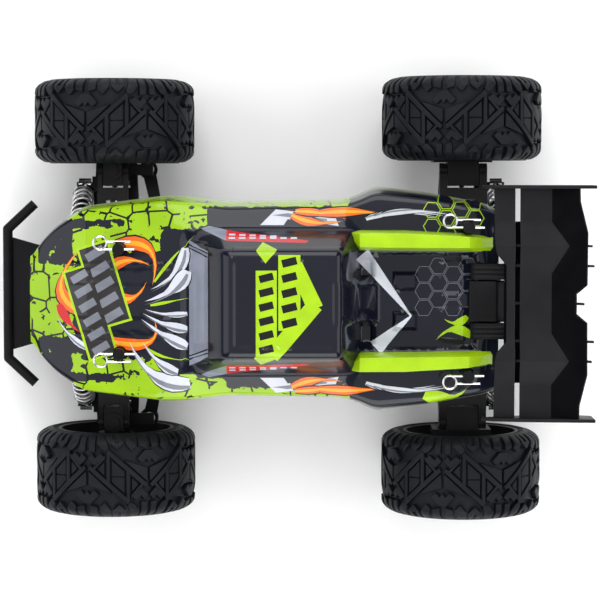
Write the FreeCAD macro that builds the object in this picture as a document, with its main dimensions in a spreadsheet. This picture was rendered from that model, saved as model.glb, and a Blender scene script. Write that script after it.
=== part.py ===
import FreeCAD, Part
import math
import os
import re
import Sketcher

# Radio-controlled monster truck, about 1:16.  Millimetres.
# +X is forward, +Y is the truck's left side, +Z is up; the origin is on the floor at mid-wheelbase.
# Left-hand pieces are modelled on the +Y side and mirrored to the right.

SIZES = {
    # wheels
    "axle_x": 92.5, "axle_z": 42.5, "tyre_rad": 42.5, "tyre_wide": 45, "tyre_wall": 4, "tread_deep": 2.5,
    "front_track": 92.5, "rear_track": 94, "rim_rad": 31, "rim_wall": 2, "shaft_rad": 2.5, "run_gap": 0.05,
    # suspension links, all parallel: inner pivots at pivot_y, outer pivots at hub_y
    "pivot_y": 22, "hub_y": 67, "low_in_z": 38, "top_in_z": 63, "arm_drop": 8, "arm_thick": 5,
    "barrel_rad": 3.5, "pin_rad": 1.5, "barrel_half": 13.7, "low_out_half": 11, "low_slot_half": 7.5,
    "front_top_half": 8, "front_slot_half": 5.5, "rear_top_half": 12.5, "rear_slot_half": 8.5,
    "slot_deep": 10.2,
    # carriers and knuckles
    "web_in": 58.5, "web_out": 61, "carrier_half": 7.2, "kingpin_rad": 1.5, "steer_arm": 17,
    "bone_lift": 12.5, "bone_rad": 1.5, "ball_rad": 2.3, "cup_rad": 5, "cup_bore": 3.8,
    # shock absorbers
    "shock_top_y": 31, "shock_top_z": 82, "shock_low_y": 59, "shock_low_z": 36,
    "front_shock": 16.5, "rear_shock": 18.8, "stud_rad": 2, "spring_rad": 4.9, "wire_rad": 0.6,
    "coil_pitch": 5.4, "spring_from": 14, "spring_long": 29,
    # chassis
    "floor_z": 24, "floor_thick": 3, "tub_top": 38, "tub_half": 32, "tub_front": 56, "tub_rear": 62,
    "tub_wall": 2.5, "nose_half": 15, "chassis_front": 116, "chassis_rear": 112,
    "box_half": 14, "box_side": 17, "box_top": 68, "flange_gap": 14.3, "flange_thick": 3, "flange_side": 26,
    "tower_from": 6, "tower_thick": 3.5, "deck_half": 9, "deck_thick": 3,
    # drive train: bevel pinions 10 teeth, ring gears 20, spur 40, motor pinion 12, module 0.8
    "shaft_z": 50.5, "centre_rad": 2, "gear_module": 0.8, "spur_teeth": 40, "pinion_teeth": 12,
    "spur_x": -58, "gear_wide": 4, "motor_y": 18, "motor_rad": 11.3, "motor_long": 36, "bevel_reach": 10,
    # steering
    "servo_x": 50, "horn_reach": 14, "rack_x": 65, "rack_half": 22,
    # body shell
    "sill_z": 75, "shell_thick": 1.2, "nose_x": 133.6, "tail_x": -108, "glass_foot": 52, "roof_front": 31,
    "roof_rear": -27.7, "roof_half": 26.4, "roof_z": 131, "hood_z": 104, "rear_floor_z": 100, "fin_top": 113,
    "post_rad": 3, "front_post_x": 86, "front_post_y": 26.7, "rear_post_x": -92, "rear_post_y": 37.8,
    "front_post_top": 108, "rear_post_top": 110, "clip_wire": 0.6, "clip_loop": 3.4,
    # bumper and wing
    "bumper_tip": 154.5, "bumper_z": 28, "bumper_rad": 2.65, "wing_half": 59.4, "wing_front": -97.5,
    "wing_tail": -154.5, "endplate_thick": 1.8,
}

doc = FreeCAD.newDocument("MonsterTruck")
sheet = doc.addObject("Spreadsheet::Sheet", "Sizes")
for row, (alias, number) in enumerate(SIZES.items(), start=1):
    sheet.set(f"A{row}", alias)
    sheet.set(f"B{row}", str(number))
    sheet.setAlias(f"B{row}", alias)
doc.recompute()

NODES = []
TURN_TO = {
    "x": FreeCAD.Rotation(FreeCAD.Vector(0, 1, 0), 90),
    "y": FreeCAD.Rotation(FreeCAD.Vector(1, 0, 0), -90),
    "z": FreeCAD.Rotation(),
}


# ---------------------------------------------------------------- expressions

def full(expression):
    """Give each alias in an expression the name of its sheet."""
    return re.sub(r"[A-Za-z_]\w*", lambda word: prefixed(word.group(0)), str(expression))


def prefixed(word):
    return f"Sizes.{word}" if word in SIZES else word


def value(expression):
    """The number that an expression has now."""
    return float(sheet.evalExpression(full(expression)))


def bind(item, prop, expression):
    item.setExpression(prop, full(expression))


def put(item, place):
    for letter, expression in zip("xyz", place):
        bind(item, f"Placement.Base.{letter}", expression)
    return item


def lengthwise(axis, along, across):
    """Order one coordinate along an axis and two across it as x, y, z."""
    first, second = across
    orders = {"x": (along, first, second), "y": (first, along, second), "z": (first, second, along)}
    return orders[axis]


# ---------------------------------------------------------------- solids

def block(xs, ys, zs):
    item = doc.addObject("Part::Box", "Block")
    for prop, (low, high) in zip(("Length", "Width", "Height"), (xs, ys, zs)):
        bind(item, prop, f"({high}) - ({low})")
    return put(item, (xs[0], ys[0], zs[0]))


def rod(radius, axis, span, across):
    item = doc.addObject("Part::Cylinder", "Rod")
    bind(item, "Radius", radius)
    bind(item, "Height", f"({span[1]}) - ({span[0]})")
    item.Placement = FreeCAD.Placement(FreeCAD.Vector(), TURN_TO[axis])
    return put(item, lengthwise(axis, span[0], across))


def cone(radius_low, radius_high, axis, span, across):
    item = doc.addObject("Part::Cone", "Cone")
    bind(item, "Radius1", radius_low)
    bind(item, "Radius2", radius_high)
    bind(item, "Height", f"({span[1]}) - ({span[0]})")
    item.Placement = FreeCAD.Placement(FreeCAD.Vector(), TURN_TO[axis])
    return put(item, lengthwise(axis, span[0], across))


def ball(radius, place):
    item = doc.addObject("Part::Sphere", "Ball")
    bind(item, "Radius", radius)
    return put(item, place)


def loop(radius, wire, place):
    item = doc.addObject("Part::Torus", "Loop")
    bind(item, "Radius1", radius)
    bind(item, "Radius2", wire)
    return put(item, place)


def fuse(*items):
    item = doc.addObject("Part::MultiFuse", "Fuse")
    item.Shapes = list(items)
    return item


def cut(base, *tools):
    item = doc.addObject("Part::Cut", "Cut")
    item.Base = base
    item.Tool = tools[0] if len(tools) == 1 else fuse(*tools)
    return item


def common(first, second):
    item = doc.addObject("Part::Common", "Common")
    item.Base = first
    item.Tool = second
    return item


def together(*items):
    """Several separate solids in one node."""
    item = doc.addObject("Part::Compound", "Group")
    item.Links = list(items)
    return item


def mirrored(source):
    item = doc.addObject("Part::Mirroring", "Mirror")
    item.Source = source
    item.Normal = FreeCAD.Vector(0, 1, 0)
    return item


def both(make, *arguments):
    """A left-hand piece and its mirror image."""
    left = make(*arguments)
    return left, mirrored(left)


# ---------------------------------------------------------------- sketches

def outline(sketch, points):
    """A closed outline of straight lines, each corner bound to its expressions."""
    numbers = [FreeCAD.Vector(value(across), value(up), 0) for across, up in points]
    count = len(points)
    for index in range(count):
        sketch.addGeometry(Part.LineSegment(numbers[index], numbers[(index + 1) % count]))
    for index in range(count):
        sketch.addConstraint(Sketcher.Constraint("Coincident", index, 2, (index + 1) % count, 1))
    for index, corner in enumerate(points):
        for kind, number, expression in zip(("DistanceX", "DistanceY"), numbers[index], corner):
            name = sketch.addConstraint(Sketcher.Constraint(kind, -1, 1, index, 1, number))
            bind(sketch, f"Constraints[{name}]", expression)


def body_sketch(body, role, points):
    sketch = body.newObject("Sketcher::SketchObject", "Outline")
    plane = next(item for item in body.Origin.OriginFeatures if item.Role == role)
    sketch.AttachmentSupport = (plane, "")
    sketch.MapMode = "FlatFace"
    outline(sketch, points)
    return sketch


def plate(points, axis, span):
    """An outline padded along an axis; the points are the two other coordinates, in x, y, z order."""
    body = doc.addObject("PartDesign::Body", "Plate")
    role = {"x": "YZ_Plane", "y": "XZ_Plane", "z": "XY_Plane"}[axis]
    pad = body.newObject("PartDesign::Pad", "Pad")
    pad.Profile = body_sketch(body, role, points)
    bind(pad, "Length", f"({span[1]}) - ({span[0]})")
    start = span[1] if axis == "y" else span[0]
    return put(body, lengthwise(axis, start, (0, 0)))


def turned(points, place):
    """A profile of (distance along Y, radius) corners turned about the Y axis through a place."""
    body = doc.addObject("PartDesign::Body", "Turned")
    revolution = body.newObject("PartDesign::Revolution", "Revolution")
    sketch = body_sketch(body, "YZ_Plane", points)
    revolution.Profile = sketch
    revolution.ReferenceAxis = (sketch, ["H_Axis"])
    revolution.Angle = 360
    return put(body, place)


def ring_of_teeth(body, role, axis_role, points, offset, length, count):
    """Pad one tooth, offset from the sketch plane, and repeat it about an axis of the body."""
    sketch = body_sketch(body, role, points)
    bind(sketch, "AttachmentOffset.Base.z", offset)
    pad = body.newObject("PartDesign::Pad", "Tooth")
    pad.Profile = sketch
    bind(pad, "Length", length)
    doc.recompute()
    pattern = body.newObject("PartDesign::PolarPattern", "Teeth")
    pattern.Originals = [pad]
    axis = next(item for item in body.Origin.OriginFeatures if item.Role == axis_role)
    pattern.Axis = (axis, [""])
    pattern.Angle = 360
    bind(pattern, "Occurrences", count)
    body.Tip = pattern
    return body


def node(label, item):
    item.Label = label
    NODES.append(item)
    return item


def pair(label, items):
    for item, side in zip(items, ("left", "right")):
        node(f"{label}_{side}", item)


# ---------------------------------------------------------------- wheels

def tyre(cx, track):
    half = "tyre_wide / 2"
    wall = "tyre_wall"
    base = "tyre_rad - tread_deep"
    carcass = [
        (f"-{half}", "rim_rad"), (f"-{half}", f"{base} - 6"), (f"-{half} + 5", base), (f"{half} - 5", base),
        (half, f"{base} - 6"), (half, "rim_rad"), (f"{half} - {wall}", "rim_rad"),
        (f"{half} - {wall}", f"{base} - 8"), (f"-{half} + {wall}", f"{base} - 8"),
        (f"-{half} + {wall}", "rim_rad"),
    ]
    body = turned(carcass, (cx, track, "axle_z"))
    bends = [(-5, f"-{half}"), (5, "-7"), (-5, "7"), (5, half)]
    rib = [(across - 2, along) for across, along in bends]
    rib += [(across + 2, along) for across, along in reversed(bends)]
    ring_of_teeth(body, "XY_Plane", "Y_Axis", rib, f"{base} - 1", "tread_deep + 1.5", 16)
    envelope = turned(
        [(f"-{half}", 20), (f"-{half}", "tyre_rad - 6"), (f"-{half} + 5", "tyre_rad"),
         (f"{half} - 5", "tyre_rad"), (half, "tyre_rad - 6"), (half, 20)],
        (cx, track, "axle_z"))
    return common(body, envelope)


def rim(cx, track):
    """Rim with its stub axle, hex drive and nut."""
    half = "tyre_wide / 2"
    inner = "rim_rad - rim_wall"
    barrel = turned(
        [(f"-{half} + 1", "rim_rad"), (f"{half} - 1", "rim_rad"), (f"{half} - 1", inner), (10, inner),
         (9, "shaft_rad"), (6, "shaft_rad"), (6, inner), (f"-{half} + 1", inner)],
        (cx, track, "axle_z"))
    windows = []
    for step in range(6):
        across = f"{cx} + 19 * cos({60 * step})"
        up = f"axle_z + 19 * sin({60 * step})"
        windows.append(rod(5.5, "y", (f"{track} + 4", f"{track} + 14"), (across, up)))
    middle = (cx, "axle_z")
    axle = rod("shaft_rad", "y", ("hub_y + 5", f"{track} + 15"), middle)
    cup = rod("cup_rad", "y", ("hub_y - 2", "hub_y + 6"), middle)
    cup_hole = rod("cup_bore", "y", ("hub_y - 3", "hub_y + 4.5"), middle)
    drive = rod(6, "y", (f"{track} - 1", f"{track} + 6"), middle)
    nut = rod(4, "y", (f"{track} + 9", f"{track} + 13"), middle)
    return together(cut(barrel, *windows), fuse(cut(cup, cup_hole), axle, drive, nut))


# ---------------------------------------------------------------- suspension

def along_arm(item, cx, z):
    """Stand a piece modelled along local +Y at the inner pivot, sloping down to the hub."""
    item.Placement = FreeCAD.Placement(FreeCAD.Vector(), FreeCAD.Rotation(FreeCAD.Vector(-1, 0, 0), 10))
    bind(item, "Placement.Rotation.Angle", "atan(arm_drop / (hub_y - pivot_y))")
    return put(item, (cx, "pivot_y", z))


ARM_LONG = "sqrt((hub_y - pivot_y)^2 + arm_drop^2)"


def arm(in_half, out_half, slot_half):
    """A suspension arm with a barrel at the inner end and a fork at the hub."""
    half = "arm_thick / 2"
    web = plate(
        [(f"-{in_half}", 0), (in_half, 0), (out_half, ARM_LONG), (f"-{out_half}", ARM_LONG)],
        "z", (f"-{half}", half))
    window = plate(
        [(f"-{in_half} + 4", 8), (f"{in_half} - 4", 8), (f"{out_half} - 4.5", f"{ARM_LONG} - 16"),
         (f"-{out_half} + 4.5", f"{ARM_LONG} - 16")], "z", ("-arm_thick", "arm_thick"))
    bar = block(("-1.2", "1.2"), (6, f"{ARM_LONG} - 14"), (f"-{half}", half))
    inner = rod("barrel_rad", "x", ("-barrel_half", "barrel_half"), (0, 0))
    outer = rod("barrel_rad", "x", (f"-{out_half}", out_half), (ARM_LONG, 0))
    inner_hole = rod("pin_rad + run_gap", "x", ("-barrel_half - 1", "barrel_half + 1"), (0, 0))
    outer_hole = rod("pin_rad + run_gap", "x", (f"-{out_half} - 1", f"{out_half} + 1"), (ARM_LONG, 0))
    slot = block((f"-{slot_half}", slot_half), (f"{ARM_LONG} - slot_deep", f"{ARM_LONG} + 6"), (-6, 6))
    framed = fuse(cut(web, window), bar, inner, outer)
    return cut(framed, inner_hole, outer_hole, slot)


def lower_arm(cx, facing, reach):
    """facing is +1 where the shock stands ahead of the axle, -1 where it stands behind."""
    link = arm("barrel_half", "low_out_half", "low_slot_half")
    swing = "atan(arm_drop / (hub_y - pivot_y))"
    forward = f"((shock_low_y - pivot_y) * cos({swing}) - (shock_low_z - low_in_z) * sin({swing}))"
    upward = f"((shock_low_y - pivot_y) * sin({swing}) + (shock_low_z - low_in_z) * cos({swing}))"
    ends = sorted((9 * facing, 12.5 * facing))
    lug = block(tuple(ends), (f"{forward} - 4", f"{forward} + 4"), ("-arm_thick / 2", f"{upward} + 3"))
    spans = {1: (12.5, f"{reach} + 4.5"), -1: (f"-{reach} - 4.5", -12.5)}
    stud = rod("pin_rad", "x", spans[facing], (forward, upward))
    outer_pin = rod("pin_rad", "x", ("-low_out_half", "low_out_half"), (ARM_LONG, 0))
    return along_arm(together(fuse(link, lug, stud), outer_pin), cx, "low_in_z")


def upper_arm(cx, out_half, slot_half):
    link = arm(out_half, out_half, slot_half)
    outer_pin = rod("pin_rad", "x", (f"-{out_half}", out_half), (ARM_LONG, 0))
    return along_arm(together(link, outer_pin), cx, "top_in_z")


LOW_OUT_Z = "(low_in_z - arm_drop)"
TOP_OUT_Z = "(top_in_z - arm_drop)"


def carrier_frame(cx, top_half):
    """The C-shaped block between the two arms, open towards the wheel."""
    wide = (f"{cx} - carrier_half", f"{cx} + carrier_half")
    narrow = (f"{cx} - {top_half} + 0.3", f"{cx} + {top_half} - 0.3")
    low = block(wide, ("web_in", "hub_y + 4.5"), (f"{LOW_OUT_Z} - 2.8", f"{LOW_OUT_Z} + 3"))
    top = block(narrow, ("web_in", "hub_y + 4.5"), (f"{TOP_OUT_Z} - 3.6", f"{TOP_OUT_Z} + 2.8"))
    web = block(wide, ("web_in", "web_out"), (f"{LOW_OUT_Z} + 1", f"{TOP_OUT_Z} - 6.5"))
    neck = block(narrow, ("web_in", "web_out"), (f"{TOP_OUT_Z} - 8", f"{TOP_OUT_Z} + 1"))
    holes = [rod("pin_rad + run_gap", "x", (f"{cx} - 12", f"{cx} + 12"), ("hub_y", level))
             for level in (LOW_OUT_Z, TOP_OUT_Z)]
    return fuse(low, top, web, neck), holes + [rod(5.5, "y", ("web_in - 1", "web_out + 1"), (cx, "axle_z"))]


def steering_carrier(cx):
    """Front carrier with its two kingpins and the capped boss on top."""
    frame, holes = carrier_frame(cx, "front_slot_half")
    centre = (cx, "hub_y")
    boss = rod("front_slot_half - 0.3", "z", (f"{TOP_OUT_Z} + 2", f"{TOP_OUT_Z} + 4.5"), centre)
    cap = rod(3.1, "z", (f"{TOP_OUT_Z} + 4.5", f"{TOP_OUT_Z} + 5.7"), centre)
    low_pin = rod("kingpin_rad", "z", (f"{LOW_OUT_Z} + 3", f"{LOW_OUT_Z} + 5.8"), centre)
    top_pin = rod("kingpin_rad", "z", (f"{TOP_OUT_Z} - 5.8", f"{TOP_OUT_Z} - 3"), centre)
    return fuse(cut(fuse(frame, boss, cap), *holes), low_pin, top_pin)


def bearing_tube(cx, track):
    tube = rod(8, "y", ("hub_y + 6.5", f"{track} - 2.5"), (cx, "axle_z"))
    flange = rod(9.5, "y", ("hub_y + 6.5", "hub_y + 9.5"), (cx, "axle_z"))
    return fuse(tube, flange)


def axle_bore(cx, track):
    return rod("shaft_rad + run_gap", "y", ("hub_y + 5", f"{track} + 2"), (cx, "axle_z"))


def hub_carrier(cx, track):
    """Rear carrier: the same block with the bearing tube joined on."""
    frame, holes = carrier_frame(cx, "rear_slot_half")
    cheek = block((f"{cx} - 15.5", f"{cx} + 15.5"), ("hub_y + 4", "hub_y + 8"), (LOW_OUT_Z, TOP_OUT_Z))
    cheek_hole = rod("cup_rad + 1", "y", ("hub_y + 3", "hub_y + 6.5"), (cx, "axle_z"))
    return cut(fuse(frame, cheek, bearing_tube(cx, track)), cheek_hole, axle_bore(cx, track), *holes)


def knuckle(cx, track):
    """Front knuckle: two trunnions, the bearing tube and the rearward steering arm."""
    gap = 0.3
    low = (f"{LOW_OUT_Z} + 3 + {gap}", f"{LOW_OUT_Z} + 6")
    top = (f"{TOP_OUT_Z} - 6.3", f"{TOP_OUT_Z} - 3.6 - {gap}")
    pieces = []
    for level in (low, top):
        pieces.append(rod(5.5, "z", level, (cx, "hub_y")))
        pieces.append(block((f"{cx} - 5.5", f"{cx} + 5.5"), ("hub_y", "hub_y + 9.5"), level))
    wall = block((f"{cx} - 8", f"{cx} + 8"), ("hub_y + 6.5", "hub_y + 9.5"),
                 (f"{LOW_OUT_Z} + 4.2", f"{TOP_OUT_Z} - 4.2"))
    riser = block((f"{cx} - 9", f"{cx} - 4.5"), ("hub_y - 3", "hub_y + 3"),
                  (f"{LOW_OUT_Z} + 4.8", f"{LOW_OUT_Z} + 9"))
    lever = block((f"{cx} - steer_arm - 3", f"{cx} - 6"), ("hub_y - 3", "hub_y + 3"),
                  (f"{LOW_OUT_Z} + 6.3", f"{LOW_OUT_Z} + 9"))
    steer_pin = rod(1.5, "z", (f"{LOW_OUT_Z} - 2.8", f"{LOW_OUT_Z} + 7"), (f"{cx} - steer_arm", "hub_y"))
    whole = fuse(*pieces, wall, bearing_tube(cx, track), riser, lever, steer_pin)
    kingpin_hole = rod("kingpin_rad + run_gap", "z", (LOW_OUT_Z, TOP_OUT_Z), (cx, "hub_y"))
    return cut(whole, axle_bore(cx, track), kingpin_hole)


def dogbone(cx):
    """Drive shaft with a ball and cross pin at each end, parallel to the arms."""
    shaft = rod("bone_rad", "y", (0, ARM_LONG), (0, 0))
    ends = [ball("ball_rad", (0, place, 0)) for place in (0, ARM_LONG)]
    pins = [rod(0.8, "z", ("-ball_rad - 0.8", "ball_rad + 0.8"), (0, place)) for place in (0, ARM_LONG)]
    return along_arm(fuse(shaft, *ends, *pins), cx, "low_in_z + bone_lift")


# ---------------------------------------------------------------- shock absorbers

SHOCK_LONG = "sqrt((shock_low_y - shock_top_y)^2 + (shock_top_z - shock_low_z)^2)"


def along_shock(item, x):
    """Stand a piece modelled along local +Z at the tower stud, pointing at the arm's stud."""
    item.Placement = FreeCAD.Placement(FreeCAD.Vector(), FreeCAD.Rotation(FreeCAD.Vector(-1, 0, 0), 150))
    slope = "(shock_low_y - shock_top_y) / (shock_top_z - shock_low_z)"
    bind(item, "Placement.Rotation.Angle", f"180 deg - atan({slope})")
    return put(item, (x, "shock_top_y", "shock_top_z"))


def shock_body(x):
    eye = rod(3.6, "x", (-3.2, 3.2), (0, 0))
    cap = rod(5.2, "z", (4, 9), (0, 0))
    neck = rod(2.6, "z", (2, 5), (0, 0))
    tube = rod(3.9, "z", (9, 33), (0, 0))
    collar = rod(5.6, "z", (11, "spring_from - 0.2"), (0, 0))
    whole = fuse(eye, cap, neck, tube, collar)
    eye_hole = rod("stud_rad + run_gap", "x", (-4, 4), (0, 0))
    bore = rod(2.6, "z", (10, 34), (0, 0))
    return along_shock(cut(whole, eye_hole, bore), x)


def shock_rod(x):
    eye = rod(3.4, "x", (-3.2, 3.2), (0, SHOCK_LONG))
    seat = rod(5.8, "z", ("spring_from + spring_long + 0.2", "spring_from + spring_long + 2.2"), (0, 0))
    neck = rod(2.6, "z", ("spring_from + spring_long + 2", f"{SHOCK_LONG} - 2"), (0, 0))
    stem = rod("bone_rad", "z", (21, f"{SHOCK_LONG} - 4"), (0, 0))
    eye_hole = rod("pin_rad + run_gap", "x", (-4, 4), (0, SHOCK_LONG))
    return along_shock(cut(fuse(eye, seat, neck, stem), eye_hole), x)


def coil_spring(x):
    helix = doc.addObject("Part::Helix", "Helix")
    bind(helix, "Pitch", "coil_pitch")
    bind(helix, "Height", "spring_long - 2 * wire_rad - 0.2")
    bind(helix, "Radius", "spring_rad")
    section = doc.addObject("Part::Circle", "Section")
    bind(section, "Radius", "wire_rad")
    section.Placement = FreeCAD.Placement(FreeCAD.Vector(), FreeCAD.Rotation(FreeCAD.Vector(1, 0, 0), 90))
    bind(section, "Placement.Base.x", "spring_rad")
    coil = doc.addObject("Part::Sweep", "Coil")
    coil.Sections = [section]
    coil.Spine = (helix, ["Edge1"])
    coil.Solid = True
    coil.Frenet = True
    raised = together(coil)
    bind(raised, "Placement.Base.z", "spring_from + wire_rad + 0.1")
    return along_shock(together(raised), x)


# ---------------------------------------------------------------- chassis

def chassis_tub():
    floor_top = "floor_z + floor_thick"
    tub = block(("-tub_rear", "tub_front"), ("-tub_half", "tub_half"), ("floor_z", "tub_top"))
    hollow = block(("-tub_rear + tub_wall", "tub_front - tub_wall"),
                   ("-tub_half + tub_wall", "tub_half - tub_wall"), (floor_top, "tub_top + 1"))
    front = block(("tub_front - 1", "chassis_front"), ("-nose_half", "nose_half"), ("floor_z", floor_top))
    rear = block(("-chassis_rear", "-tub_rear + 1"), ("-nose_half", "nose_half"), ("floor_z", floor_top))
    wings = [block(("tub_front - 1", "rack_x + 6"), (low, low + 10), ("floor_z", floor_top))
             for low in (-24, 14)]
    rack_posts = [rod(1.5, "z", ("floor_z + 1", 43.3), ("rack_x + 2.8", y)) for y in (-7, 7)]
    shaft_slot = block(("-tub_rear - 1", "-tub_rear + 3"), (-6, 6), (36, "tub_top + 1"))
    battery_hole = block((-44, 22), (-28, -8), ("floor_z - 1", f"{floor_top} + 1"))
    rails = [block((-56, 30), (low, low + 1.5), ("floor_z - 3", "floor_z")) for low in (-31.5, -6)]
    return fuse(cut(tub, hollow, shaft_slot, battery_hole), front, rear, *wings, *rack_posts, *rails)


def battery_pack():
    """Two rows of three cells under a shrink wrap."""
    rows = [rod(9.6, "x", (-46, 26), (y, 37.7)) for y in (-18,)]
    wrap = block((-44, 24), (-26.5, -9.5), (28.1, 47.3))
    return fuse(*rows, wrap)


def receiver_box():
    case = block((-8, 18), (7, 28), (27.1, 42))
    lid = block((-7, 17), (8, 27), (42, 43.2))
    plug = block((-3, 9), (12, 23), (43.2, 46))
    return fuse(case, lid, plug)


def steering_servo():
    case = block((32, "servo_x + 3.4"), (-5, 16), (27.1, 37))
    ears = block((30, 32), (-5, 16), (33, 35))
    boss = rod(3.6, "z", (36, 38.2), ("servo_x - 0.5", 0))
    return fuse(case, ears, boss)


def drive_motor():
    centre = ("motor_y", MOTOR_Z)
    start = "spur_x + gear_wide + 3"
    can = rod("motor_rad", "x", (start, f"{start} + motor_long"), centre)
    nose = rod(4.5, "x", ("spur_x + gear_wide + 1.5", start), centre)
    end_bell = rod("motor_rad - 2", "x", (f"{start} + motor_long", f"{start} + motor_long + 3"), centre)
    shaft_hole = rod("1.55", "x", ("spur_x", f"{start} + 6"), centre)
    return cut(fuse(can, nose, end_bell), shaft_hole)


def gearbox(cx, side):
    """Gearbox housing with the four pivot flanges; side points from the middle of the truck."""
    case = block((f"{cx} - box_half", f"{cx} + box_half"), ("-box_side", "box_side"),
                 ("floor_z + floor_thick", "box_top"))
    flanges = []
    for way in (-1, 1):
        near = f"{cx} + {way} * (flange_gap + flange_thick / 2)"
        flanges.append(block((f"{near} - flange_thick / 2", f"{near} + flange_thick / 2"),
                             ("-flange_side", "flange_side"), ("low_in_z - 4", "box_top - 1")))
    joiner = block((f"{cx} - flange_gap - 1", f"{cx} + flange_gap + 1"), ("-box_side + 2", "box_side - 2"),
                   ("low_in_z - 4", "box_top - 3"))
    cavity = rod("bevel_reach + 2.5", "y", ("-box_side + 3", "box_side - 3"), (cx, "shaft_z"))
    cup_holes = rod("cup_rad + run_gap", "y", ("-box_side - 1", "box_side + 1"), (cx, "shaft_z"))
    ends = {1: (f"{cx} - 18", cx), -1: (cx, f"{cx} + 18")}
    shaft_hole = rod("centre_rad + run_gap", "x", ends[side], (0, "shaft_z"))
    pin_holes = [rod("pin_rad", "x", (f"{cx} - 18", f"{cx} + 18"), (y, z))
                 for y in ("pivot_y", "-pivot_y") for z in ("low_in_z", "top_in_z")]
    return cut(fuse(case, joiner, *flanges), cavity, cup_holes, shaft_hole, *pin_holes)


def shock_tower(cx, side, reach, half):
    """Upright plate across the truck with a stud for each shock."""
    near = {1: f"{cx} + tower_from", -1: f"{cx} - tower_from - tower_thick"}[side]
    far = f"{near} + tower_thick"
    shape = plate([("-box_side", "box_top"), ("box_side", "box_top"), (half, 74), (half, 80),
                   ("shock_top_y + 5", "shock_top_z + 5"), ("shock_top_y - 4", "shock_top_z + 5"), (12, 79),
                   (-12, 79), ("-shock_top_y + 4", "shock_top_z + 5"),
                   ("-shock_top_y - 5", "shock_top_z + 5"),
                   (f"-{half}", 80), (f"-{half}", 74)], "x", (near, far))
    stud_span = {1: (near, f"{cx} + {reach} + 5"), -1: (f"{cx} - {reach} - 5", far)}[side]
    studs = [rod("stud_rad", "x", stud_span, (y, "shock_top_z")) for y in ("shock_top_y", "-shock_top_y")]
    return fuse(shape, *studs)


def body_posts():
    posts = []
    places = (("front_post_x", "front_post_y", "front_post_top", "axle_x + tower_from", "front_post_x - 3"),
              ("rear_post_x", "rear_post_y", "rear_post_top", "rear_post_x + 4", "-axle_x - tower_from"))
    for x, y, top, end_a, end_b in places:
        low, high = sorted((end_a, end_b), key=value)
        for sign in ("", "-"):
            middle = f"{sign}{y}"
            foot = block((low, high), (f"{middle} - 3.2", f"{middle} + 3.2"), (75, 79))
            post = rod("post_rad", "z", (75, top), (x, middle))
            level = f"{top} - 4"
            clip_hole = rod("clip_wire + 0.2", "x", (f"{x} - 5", f"{x} + 5"), (middle, level))
            posts.append(cut(fuse(foot, post), clip_hole))
    return together(*posts)


def front_bumper():
    """Bar with its ends bent back, on a tapered skid plate."""
    z = "bumper_z"
    bar = rod("bumper_rad", "y", (-35, 35), ("bumper_tip - bumper_rad", z))
    pieces = [bar, plate([("chassis_front", -14), ("chassis_front + 8", -23), ("bumper_tip - 3", -31),
                          ("bumper_tip - 3", 31), ("chassis_front + 8", 23), ("chassis_front", 14)],
                         "z", ("floor_z", "floor_z + floor_thick"))]
    for sign in ("", "-"):
        pieces.append(ball("bumper_rad", ("bumper_tip - bumper_rad", f"{sign}35", z)))
        bent = doc.addObject("Part::Cylinder", "BentEnd")
        bind(bent, "Radius", "bumper_rad")
        bind(bent, "Height", 20)
        lean = FreeCAD.Rotation(FreeCAD.Vector(0, 0, 1), 137 if sign == "" else -137)
        bent.Placement = FreeCAD.Placement(FreeCAD.Vector(), lean.multiply(TURN_TO["x"]))
        pieces.append(put(bent, ("bumper_tip - bumper_rad", f"{sign}35", z)))
    return fuse(*pieces)


def top_deck():
    spine = block(("-axle_x - 5", "axle_x + 5"), ("-deck_half", "deck_half"),
                  ("box_top", "box_top + deck_thick"))
    holes = [rod(5, "z", ("box_top - 1", "box_top + deck_thick + 1"), (x, 0)) for x in range(-60, 61, 20)]
    return cut(spine, *holes)


def wing_mount():
    """Ribbed cross tube behind the tower with two struts up to the wing."""
    pieces = [rod(3, "y", (-18, 18), (-107, 86))]
    pieces += [rod(4, "y", (y, y + 1.5), (-107, 86)) for y in range(-16, 17, 4)]
    for y in (-17, 14):
        pieces.append(plate([(-102, 79), (-110, 79), (-112, 90), (-132, 114.6), (-124, 114.6), (-102, 90)],
                            "y", (y, y + 3)))
    foot = block((-107, "-axle_x - tower_from - tower_thick"), (-20, 20), (78, 81))
    return fuse(foot, *pieces)


def rear_wing():
    """Two-element wing with end plates and five fins."""
    span = ("-wing_half + endplate_thick", "wing_half - endplate_thick")
    front = plate([(-104, 117.5), (-109, 120), (-114.6, 120.5), (-114.6, 119), (-109, 118)], "y", span)
    main = plate([(-117.3, 115.5), (-121, 117.6), (-134, 119.5), (-149.5, 126), (-150.5, 124.5),
                  (-134, 117.6), (-121, 115)], "y", span)
    pieces = [front, main]
    for low in ("-wing_half", "wing_half - endplate_thick"):
        pieces.append(plate([("wing_front", 116), (-103, 121.5), (-120, 125), ("wing_tail + 1", 128.5),
                             ("wing_tail", 108), (-140, 105.5), (-112, 108)],
                            "y", (low, f"{low} + endplate_thick")))
    for y in (-29, -19, 0, 19, 29):
        pieces.append(plate([(-112, 118), (-112, 120), (-119, 117), (-134, 119), (-150, 125), (-153, 124),
                             (-150, 118), (-134, 113)], "y", (y - 0.8, y + 0.8)))
    return fuse(*pieces)


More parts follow.
